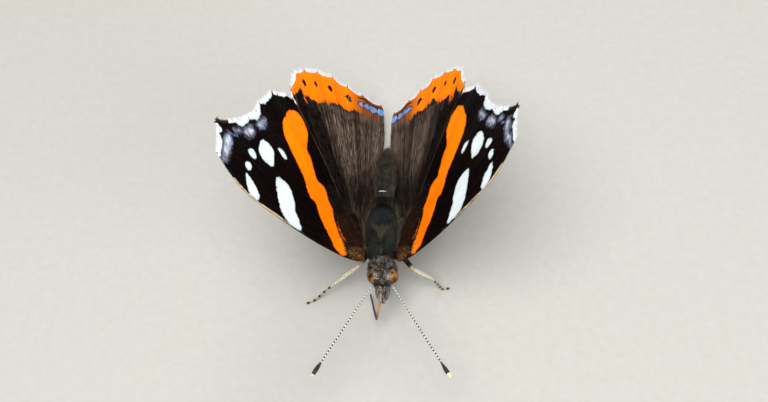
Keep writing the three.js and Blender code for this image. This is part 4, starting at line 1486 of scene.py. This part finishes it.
def makeCoat(name, kind, material, stretchAt=evenly(1.0)):
    look = bodyCoats[kind]
    place, angle, roots, back, outward = coatRoots(look)
    heading = unit(back * look["back"] + outward * look["out"])
    buried = roots - outward * 0.04
    look = dict(look, stretch=stretchAt(place))
    tufts = makeTufts(buried, heading, outward, onTrunkMap(place, angle), look)
    makeTuftPiece(name, tufts, material, coatFields(roots, angle))


def abdomenStretch(place):
    # short around the ridge behind the waist that carries the painted highlight
    return 0.55 + 0.45 * smoothStep(np.abs(place - 7.2), 0.5, 1.2)


def headStretch(place):
    # longest on the crown, short on the neck
    return 0.7 + 0.4 * smoothStep(place, -5.2, -4.2) - 0.35 * smoothStep(place, -3.7, -3.0)


# a small ridge behind the waist whose near-white colour is a painted highlight
glintRidge = {"place": 7.45, "turn": 0.85, "rise": 0.2, "radius": 0.05, "aside": -0.15}


def glintRidgeLook(tree):
    # near white with grey grain: the painted highlight
    grain = noise(tree, objectPlace(tree), 6000.0, 2.0)
    return {"colour": blend(tree, step(tree, grain, 0.35, 0.6), "#e9eaea", "#8d8a86")}


def makeGlintRidge():
    # a glossy ridge on the first ring behind the waist, coloured near white as a painted highlight
    share = np.linspace(0, 1, 40)
    turn = math.pi / 2 + (share - 0.5) * glintRidge["turn"]
    path = trunkPoint(np.full(len(share), glintRidge["place"]), turn)
    path += (glintRidge["aside"], 0, glintRidge["rise"])
    radius = glintRidge["radius"] * np.sqrt(np.clip(1 - (2 * share - 1) ** 4, 0.01, 1))
    material = newMaterial("paintedGlint", glintRidgeLook, Roughness=0.25, Specular_IOR_Level=0.6)
    rings = sweptRings(path, radius, around=12, up=(0, 1, 0))
    makePiece("waist_glint_ridge", closedRings(rings), material)


makeCoat("thorax_coat", "thorax", coatMaterial("thoraxFur", thoraxColour))
makeCoat("flank_hair", "flank", coatMaterial("flankHair", flankColour))
makeCoat("abdomen_coat", "abdomen", coatMaterial("abdomenScales", abdomenColour), abdomenStretch)
makeCoat("head_coat", "head", coatMaterial("headHair", headColour), headStretch)
makeGlintRidge()
print("coat made")


# Head parts

eyes = {"middle": (1.05, -0.2, 0.0), "radii": (0.98, 1.08, 1.12), "rings": 72, "around": 96}


def ellipsoidRings(middle, radii, rings, around):
    # middle + radii (cos, sin cos, sin sin) with the poles at the two x ends
    polar = np.linspace(0, math.pi, rings + 2)[1:-1]
    p, a = np.meshgrid(polar, ovalAngles(around), indexing="ij")
    unitBall = np.stack([np.cos(p), np.sin(p) * np.cos(a), np.sin(p) * np.sin(a)], axis=-1)
    return middle + unitBall * radii


def eyeLook(tree):
    place = objectPlace(tree)
    blotches = noise(tree, place, 1500.0, 2.0)
    facets = put(tree, "TexVoronoi", {"Vector": place, "Scale": 14000.0}).outputs["Distance"]
    colour = layered(
        tree, "#8b5c2d",
        (step(tree, blotches, 0.42, 0.56), "#553617"),
        (step(tree, blotches, 0.52, 0.58), "#120905"),
        (step(tree, facets, 0.2, 0.7, 0.0, 0.3), "#2a170a"),
    )
    return {"colour": colour, "bump": (facets, 0.25, 0.03, True)}


def makeEye(name, side, material):
    rings = ellipsoidRings(onHead(eyes["middle"], side), eyes["radii"], eyes["rings"], eyes["around"])
    makePiece(name, closedRings(rings), material, [name])


palps = {
    "root": (0.5, -0.45, -0.7), "tip": (0.2, -3.7, -0.55), "sag": 0.25, "radius": 0.34, "buried": 0.03,
    "count": 3600, "length": 0.75, "vary": 0.45, "width": 0.05, "thick": 0.4, "spread": 0.12, "lift": 0.25,
    "curl": 0.6, "rings": 2, "stripes": 60,
}


def palpPath(side, share):
    # from root to tip with a slight sag between
    root, tip = onHead(palps["root"], side), onHead(palps["tip"], side)
    line = root + (tip - root) * share[:, None]
    line[:, 2] -= palps["sag"] * np.sin(math.pi * share)
    return line


def palpRadius(share):
    return palps["radius"] * (0.22 + np.cos(math.pi / 2 * np.clip(share * 1.2 - 0.2, 0, 1)) ** 0.8)


def makePalp(label, side, skin, hair):
    share = np.linspace(0, 1, 40)
    rings = sweptRings(palpPath(side, share), palpRadius(share), around=28)
    makePiece("palp_" + label, closedRings(rings), skin, ["palp_" + label])
    place = random.uniform(0, 1, palps["count"])
    angle = random.uniform(0, 2 * math.pi, palps["count"])
    nudge = 0.02
    along = unit(palpPath(side, place + nudge) - palpPath(side, place - nudge))
    outward = outwardRound(along, angle)
    roots = palpPath(side, place) + outward * (palpRadius(place) - palps["buried"])[:, None]
    look = dict(palps, stretch=1.15 - 0.75 * smoothStep(place, 0.3, 0.9))
    tufts = makeTufts(roots, along, outward, limbMap(place, angle), look)
    stripes = np.resize(random.uniform(0, 1, palps["stripes"]), palps["stripes"] + 1)
    striped = np.interp(angle, np.linspace(0, 2 * math.pi, len(stripes)), stripes)
    shade = 0.7 * striped + 0.3 * random.uniform(0, 1, len(angle))
    makeTuftPiece("palp_hair_" + label, tufts, hair, {"tuftShade": shade})


antennae = {
    "tip": (8.4, -14.25, 0.25), "lean": 0.36, "shaft": 0.105, "club": 0.27, "clubLength": 1.9,
    "ringLength": 0.46,
}


def antennaLook(tree):
    # white rings on grey, darker toward the club, whose tip is cream
    along = field(tree, "along")
    length = np.linalg.norm(np.subtract(antennae["tip"], head["feelerRoot"]))
    clubStart = length - antennae["clubLength"]
    phase = sums(tree, "FRACT", sums(tree, "DIVIDE", along, antennae["ringLength"]))
    white = sums(tree, "SUBTRACT", step(tree, phase, 0.42, 0.58), step(tree, phase, 0.84, 1.0))
    speck = noise(tree, objectPlace(tree), 9000.0, 2.0)
    pale = layered(
        tree, "#e2dfd9",
        (step(tree, speck, 0.4, 0.6), "#aeaaa3"),
        (step(tree, along, 1.0, 7.0, 0.6, 0.0), "#979189"),
    )
    colour = layered(
        tree, "#7f7972",
        (step(tree, along, 1.5, 9.0), "#403a36"),
        (white, pale),
        (step(tree, along, 1.0, 1.5, 1.0, 0.0), "#2b2623"),
        (step(tree, along, clubStart - 0.6, clubStart + 0.1), "#1d1715"),
        (step(tree, along, length - 0.5, length - 0.32), "#f3d79a"),
    )
    return {
        "colour": colour,
        "roughness": step(tree, speck, 0.3, 0.7, 0.35, 0.6),
        "bump": (white, 0.3, 0.03, False),
    }


def makeAntenna(name, side, material):
    # a straight thin shaft that swells into a club, leaning a little to one side
    root = onHead(head["feelerRoot"], side)
    tip = onHead(antennae["tip"], side) + (antennae["lean"], 0, 0)
    length = np.linalg.norm(tip - root)
    share = np.concatenate([[0.0], np.linspace(0.001, 0.999, 260), [1.0]])
    along = share * length
    beads = 1 + 0.07 * np.sin(2 * math.pi * along / antennae["ringLength"])
    clubLength = antennae["clubLength"]
    swell = smoothStep(along, length - clubLength - 0.5, length - clubLength * 0.55)
    radius = antennae["shaft"] * beads + (antennae["club"] - antennae["shaft"]) * swell
    radius = radius * np.sqrt(np.clip(1 - smoothStep(along, length - 0.9, length) ** 2, 0.001, 1))
    radius = radius * (1 + 0.5 * smoothStep(along, 0.7, 0.0))
    around = 20
    shape = closedRings(sweptRings(root + (tip - root) * share[:, None], radius, around=around))
    makePiece(name, shape, material, [name], {"along": ringValues(along, around)})


proboscis = {
    "start": (0.3, -4.9, -1.6), "root": (0.25, -5.2, -2.5), "elbow": (-0.57, -8.66, -5.0),
    "tip": (-1.76, -3.5, -7.75), "bend": 0.55, "radius": 0.22, "taper": 0.45, "flatness": 0.85,
}


def proboscisLook(tree):
    along = field(tree, "along")
    ring = sums(tree, "FRACT", times(tree, along, 9.0))
    colour = layered(
        tree, "#a9713c",
        (step(tree, along, 4.0, 5.2), "#4a2230"),
        (step(tree, ring, 0.6, 1.0, 0.0, 0.35), "#2a1512"),
    )
    shine = step(tree, ring, 0.0, 1.0, 0.3, 0.45)
    return {"colour": colour, "roughness": shine, "bump": (ring, 0.2, 0.03, False)}


def makeProboscis(material):
    # down and forward to the elbow, then back under the head to the floor
    start, root, elbow, tip = (np.array(proboscis[key]) for key in ("start", "root", "elbow", "tip"))
    back, on = unit(root - elbow), unit(tip - elbow)
    bend = proboscis["bend"]
    corner = [elbow + back * bend, elbow + (back + on) * 0.12, elbow + on * bend]
    path = curveThrough([start, root] + corner + [tip], 200)
    along = lengthAlong(path)
    radius = proboscis["radius"] * (1 - proboscis["taper"] * along / along[-1])
    radius[-6:] *= np.sqrt(np.linspace(1, 0.02, 6))
    around = 20
    shape = closedRings(sweptRings(path, radius, radius * proboscis["flatness"], around, (1, 0, 0)))
    standsFor = ["proboscis_upper", "proboscis_lower"]
    makePiece("proboscis", shape, material, standsFor, {"along": ringValues(along, around)})


compoundEye = newMaterial(
    "compoundEye", eyeLook, Roughness=0.3, Specular_IOR_Level=0.18, Coat_Weight=0.1, Coat_Roughness=0.1
)
palpHair = coatMaterial("palpHair", palpColour)
antennaRings = newMaterial("antennaRings", antennaLook, Specular_IOR_Level=0.35)
for label, side in sides.items():
    makeEye("eye_" + label, side, compoundEye)
    makePalp(label, side, bodySkin, palpHair)
    makeAntenna("antenna_" + label, side, antennaRings)
makeProboscis(newMaterial("proboscisHorn", proboscisLook, Specular_IOR_Level=0.5))
print("head made")


# Legs

soleLevel = -bodyPlace["rootsAboveFloor"] + 0.15
legUp = (0.13, 0.08, 1.0)        # the rings of a limb are set out from this direction, which no limb follows
legs = {
    # hip, knee, ankle, landing, toe
    "middle_left": [
        (1.35, 0.9, -2.8), (4.1, -3, -2.1), (6.5, -2.7, -5.2), (7.7, -2.5, soleLevel),
        (8.6, -2.4, soleLevel),
    ],
    "middle_right": [
        (-1.35, 0.9, -2.8), (-2.68, -2.1, -2.4), (-6.4, -3.35, -5.5), (-9.2, -4.4, soleLevel),
        (-10.1, -4.8, soleLevel),
    ],
    "hind_left": [
        (1.3, 3, -2.8), (4.9, 5.4, -2.7), (7.6, 8.8, -6.4), (8.5, 11.6, soleLevel), (8.8, 12.7, soleLevel),
    ],
    "hind_right": [
        (-1.3, 3, -2.8), (-4.9, 5.4, -2.7), (-7.6, 8.8, -6.4), (-8.5, 11.6, soleLevel),
        (-8.8, 12.7, soleLevel),
    ],
}
legLook = {"femur": 0.36, "tibia": 0.29, "tarsus": 0.15, "spine": 0.28, "spines": 26, "claw": 0.34}


def legDarkLook(tree):
    place = objectPlace(tree)
    colour = layered(
        tree, "#15100e",
        (step(tree, noise(tree, place, 2600.0, 3.0), 0.35, 0.65), "#3d3027"),
        (step(tree, field(tree, "along"), 0.86, 0.97), "#aa9f7c"),
    )
    return {"colour": colour, "bump": (noise(tree, place, 9000.0), 0.4, 0.04, False)}


def legPaleLook(tree):
    # cream, darker under the shin; from 1 on, along runs down the foot with its dark rings
    place = objectPlace(tree)
    grain = noise(tree, place, 5000.0, 3.0)
    along = field(tree, "along")
    ring = sums(tree, "FRACT", times(tree, sums(tree, "SUBTRACT", along, 1.0), 5.0))
    colour = layered(
        tree, "#cfc9b6",
        (step(tree, grain, 0.35, 0.65), "#a29b85"),
        (field(tree, "below"), blend(tree, step(tree, grain, 0.4, 0.6), "#7a6d54", "#463a2d")),
        (times(tree, step(tree, along, 1.0, 1.3), 0.6), "#8f7550"),
        (times(tree, step(tree, ring, 0.5, 0.7), step(tree, along, 1.0, 1.02)), "#2a1e17"),
    )
    return {"colour": colour, "bump": (noise(tree, place, 9000.0), 0.4, 0.04, False)}


def limb(start, end, radius, bow=0.0):
    # from start to end, with a radius for each ring
    share = np.linspace(0, 1, len(radius))
    path = start + (end - start) * share[:, None]
    path[:, 2] += bow * np.sin(math.pi * share)
    return closedRings(sweptRings(path, radius, around=18, up=legUp))


def shareAlong(points, start, end):
    return np.clip((points - start) @ (end - start) / ((end - start) ** 2).sum(), 0, 1)


def roundEnds(share, part):
    # one, rounded down to nought over the given part at both ends
    return np.sqrt(np.clip(1 - np.clip(1 - np.minimum(share, 1 - share) / part, 0, 1) ** 2, 0.002, 1))


def spikes(roots, directions, length, radius):
    # small closed cones from each root
    side = unit(np.cross(directions, (0.3, 0.2, 1.0)))[:, None]
    over = np.cross(side, directions[:, None])
    angle = ovalAngles(4)[None, :, None]
    ring = roots[:, None] + radius * (side * np.cos(angle) + over * np.sin(angle))
    tips = roots + directions * length
    points = np.concatenate([ring, tips[:, None]], axis=1).reshape(-1, 3)
    start = (np.arange(len(roots)) * 5)[:, None, None]
    sloping = np.array([[0, 1, 4], [1, 2, 4], [2, 3, 4], [3, 0, 4]])
    base = np.array([[3, 2, 1, 0]])
    return points, [(sloping + start).reshape(-1, 3), (base + start).reshape(-1, 4)]


def sideAndBelow(way):
    # square to a limb: to its side and toward the floor
    side = unit(np.cross(way, legUp))
    return side, -np.cross(side, way)


def spineRow(roots, way, lean, out, length, radius):
    # lean is how far the spines point forward, down, and to either side in turn
    side, below = sideAndBelow(way)
    turn = np.where(np.arange(len(roots)) % 2 == 0, 1, -1)[:, None]
    heading = unit(way * lean[0] + below * lean[1] + side * turn * lean[2])
    return spikes(roots + heading * out, heading, length, radius)


def makeLeg(name, joints, dark, cream):
    hip, knee, ankle, landing, toe = (np.array(joint, float) for joint in joints)
    share = np.linspace(0, 1, 40)
    radius = legLook["femur"] * roundEnds(share, 0.1) * (0.72 + 0.28 * np.sin(math.pi * share))
    thigh = limb(hip, knee, radius, bow=0.1)
    fields = {"along": shareAlong(thigh[0], hip, knee)}
    makePiece(name + "_femur", thigh, dark, [name + "_femur"], fields)
    # the shin, the foot of five joints, spines on both and two claws are one piece
    radius = legLook["tibia"] * roundEnds(share, 0.05) * (0.62 + 0.45 * np.sin(math.pi * share**0.8))
    shin = limb(knee, ankle, radius)
    foot = curveThrough([ankle, (ankle + landing) / 2, landing, toe], 60)
    footShare = np.linspace(0, 1, len(foot))
    knobs = 0.82 + 0.28 * (5 * footShare % 1) ** 2
    radius = legLook["tarsus"] * knobs * roundEnds(footShare, 0.03)
    around = 14
    tarsus = closedRings(sweptRings(foot, radius, around=around, up=legUp))
    shinWay = unit(ankle - knee)
    roots = knee + (ankle - knee) * np.linspace(0.15, 0.98, legLook["spines"])[:, None]
    shinSpines = spineRow(roots, shinWay, (0.8, 0.6, 0.55), 0.1, legLook["spine"], 0.028)
    spaced = slice(6, 56, 2)
    footWay = unit(np.gradient(foot, axis=0))
    short = legLook["spine"] * 0.6
    footSpines = spineRow(foot[spaced], footWay[spaced], (0.9, 0.0, 0.6), 0.06, short, 0.022)
    toeWay = unit(toe - landing)
    toeSide = unit(np.cross(toeWay, (0.0, 0.0, 1.0))) * 0.5
    clawWays = unit(np.stack([toeWay + toeSide, toeWay - toeSide]) - (0, 0, 0.2))
    claws = spikes(np.stack([toe - toeWay * 0.1] * 2), clawWays, legLook["claw"], 0.035)
    points, faces = joined([shin, tarsus, shinSpines, footSpines, claws])
    points[:, 2] = np.maximum(points[:, 2], -bodyPlace["rootsAboveFloor"])
    shinAlong = np.minimum(shareAlong(shin[0], knee, ankle), 0.99)
    along = np.concatenate([shinAlong, ringValues(1 + footShare, around)])
    below = smoothStep((shin[0] - knee) @ sideAndBelow(shinWay)[1], 0.0, 0.22)
    fields = {
        "along": np.append(along, np.full(len(points) - len(along), 1.15)),
        "below": np.append(below, np.zeros(len(points) - len(below))),
    }
    standsFor = [name + "_tibia", name + "_tarsus"]
    makePiece(name + "_shin", (points, faces), cream, standsFor, fields, turn=False)


forelegs = {
    "root": (0.75, -1.7, -2.3), "bend": (1.0, -3.3, -3.2), "tip": (0.75, -4.9, -3.0), "radius": 0.22,
    "count": 1300, "hairFrom": 0.12, "length": 0.4, "vary": 0.4, "width": 0.06, "thick": 0.4, "spread": 0.2,
    "lift": 0.3, "curl": 0.5, "rings": 2,
}


def makeForeleg(label, side, skin, hair):
    # a short brush-like leg folded against the breast
    path = curveThrough([mirrored(forelegs[key], side) for key in ("root", "bend", "tip")], 60)
    share = np.linspace(0, 1, len(path))
    radius = forelegs["radius"] * roundEnds(share, 0.12) * (1 - 0.35 * share)
    shape = closedRings(sweptRings(path, radius, around=18))
    dark = {"along": np.zeros(len(shape[0]))}
    makePiece("foreleg_" + label, shape, skin, ["foreleg_" + label], dark)
    place = random.uniform(0, 1, forelegs["count"])
    angle = random.uniform(0, 2 * math.pi, forelegs["count"])
    along = unit(columnsAt(place, share, unit(np.gradient(path, axis=0))))
    outward = outwardRound(along, angle)
    roots = columnsAt(place, share, path) + outward * forelegs["hairFrom"]
    look = dict(forelegs, stretch=1.0 - 0.5 * smoothStep(place, 0.7, 1.0))
    tufts = makeTufts(roots, along, outward, limbMap(place, angle), look)
    makeTuftPiece("foreleg_hair_" + label, tufts, hair, {})


legDark = newMaterial("legDark", legDarkLook, Roughness=0.5)
legPale = newMaterial("legPale", legPaleLook, Roughness=0.5)
forelegHair = coatMaterial("forelegHair", flankColour)
for name, joints in legs.items():
    makeLeg("leg_" + name, joints, legDark, legPale)
for label, side in sides.items():
    makeForeleg(label, side, legDark, forelegHair)
print("legs made")


# Floor, light and camera

studio = {
    "floorSize": 1.2,
    "floorColours": ("#a6a49e", "#a3a19b"),
    "world": 0.42,
    "lightTarget": (0.0, 0.0, 0.015),
    # place in metres from the insect, size, power
    "lights": {
        "key": ((-0.03, -0.12, 0.35), 0.24, 1.9),
        "fill": ((0.24, -0.2, 0.2), 0.26, 0.5),
        "back": ((0.05, 0.3, 0.26), 0.22, 0.7),
    },
}
photoView = {
    # the photograph's camera, found from the wings: degrees and millimetres
    "elevation": 57.4, "yaw": 6.9, "roll": -5.65, "distance": 165.1, "shift": (0.334, 5.084),
    "focalPixels": 1291.4, "imageWidth": 768, "sensor": 36.0,
}


def floorLook(tree):
    grain = noise(tree, objectPlace(tree), 900.0, 2.0)
    return {"colour": blend(tree, step(tree, grain, 0.3, 0.7), *studio["floorColours"])}


def makeFloor():
    half = studio["floorSize"] / 2
    corners = [(-half, -half, 0), (half, -half, 0), (half, half, 0), (-half, half, 0)]
    mesh = bpy.data.meshes.new("floor")
    mesh.from_pydata(corners, [], [(0, 1, 2, 3)])
    mesh.materials.append(newMaterial("paleFloor", floorLook, Roughness=0.8, Specular_IOR_Level=0.2))
    floor = bpy.data.objects.new("floor", mesh)
    scene.collection.objects.link(floor)


def makeLights():
    target = Vector(studio["lightTarget"])
    for name, (place, size, power) in studio["lights"].items():
        data = bpy.data.lights.new(name, "AREA")
        data.shape = "DISK"
        data.size = size
        data.energy = power
        lamp = bpy.data.objects.new(name, data)
        lamp.location = place
        lamp.rotation_euler = (target - Vector(place)).to_track_quat("-Z", "Y").to_euler()
        scene.collection.objects.link(lamp)
    world = bpy.data.worlds.new("softSky")
    world.use_nodes = True
    background = world.node_tree.nodes["Background"]
    background.inputs["Color"].default_value = (0.95, 0.98, 1.0, 1.0)
    background.inputs["Strength"].default_value = studio["world"]
    scene.world = world


def makeCamera():
    # looks down at the insect: back = (sin yaw cos e, -cos yaw cos e, sin e), then rolled about that line
    elevation, yaw, roll = (math.radians(photoView[key]) for key in ("elevation", "yaw", "roll"))
    level = math.cos(elevation)
    back = np.array([math.sin(yaw) * level, -math.cos(yaw) * level, math.sin(elevation)])
    right = unit(np.cross(-back, (0, 0, 1)))
    up = np.cross(right, -back)
    rolledRight = math.cos(roll) * right + math.sin(roll) * up
    rolledUp = -math.sin(roll) * right + math.cos(roll) * up
    shiftRight, shiftUp = photoView["shift"]
    place = toFrame(back * photoView["distance"] + shiftRight * rolledRight + shiftUp * rolledUp)
    data = bpy.data.cameras.new("photoCamera")
    data.sensor_width = photoView["sensor"]
    data.lens = photoView["focalPixels"] * photoView["sensor"] / photoView["imageWidth"]
    data.clip_start = 0.005
    data.clip_end = 5.0
    camera = bpy.data.objects.new("photoCamera", data)
    axes = np.stack([rolledRight, rolledUp, back], axis=1)
    turn = Matrix(axes.tolist()).to_4x4()
    camera.matrix_world = Matrix.Translation(Vector(place)) @ turn
    scene.collection.objects.link(camera)
    scene.camera = camera


makeFloor()
makeLights()
makeCamera()
print("floor, light and camera made")
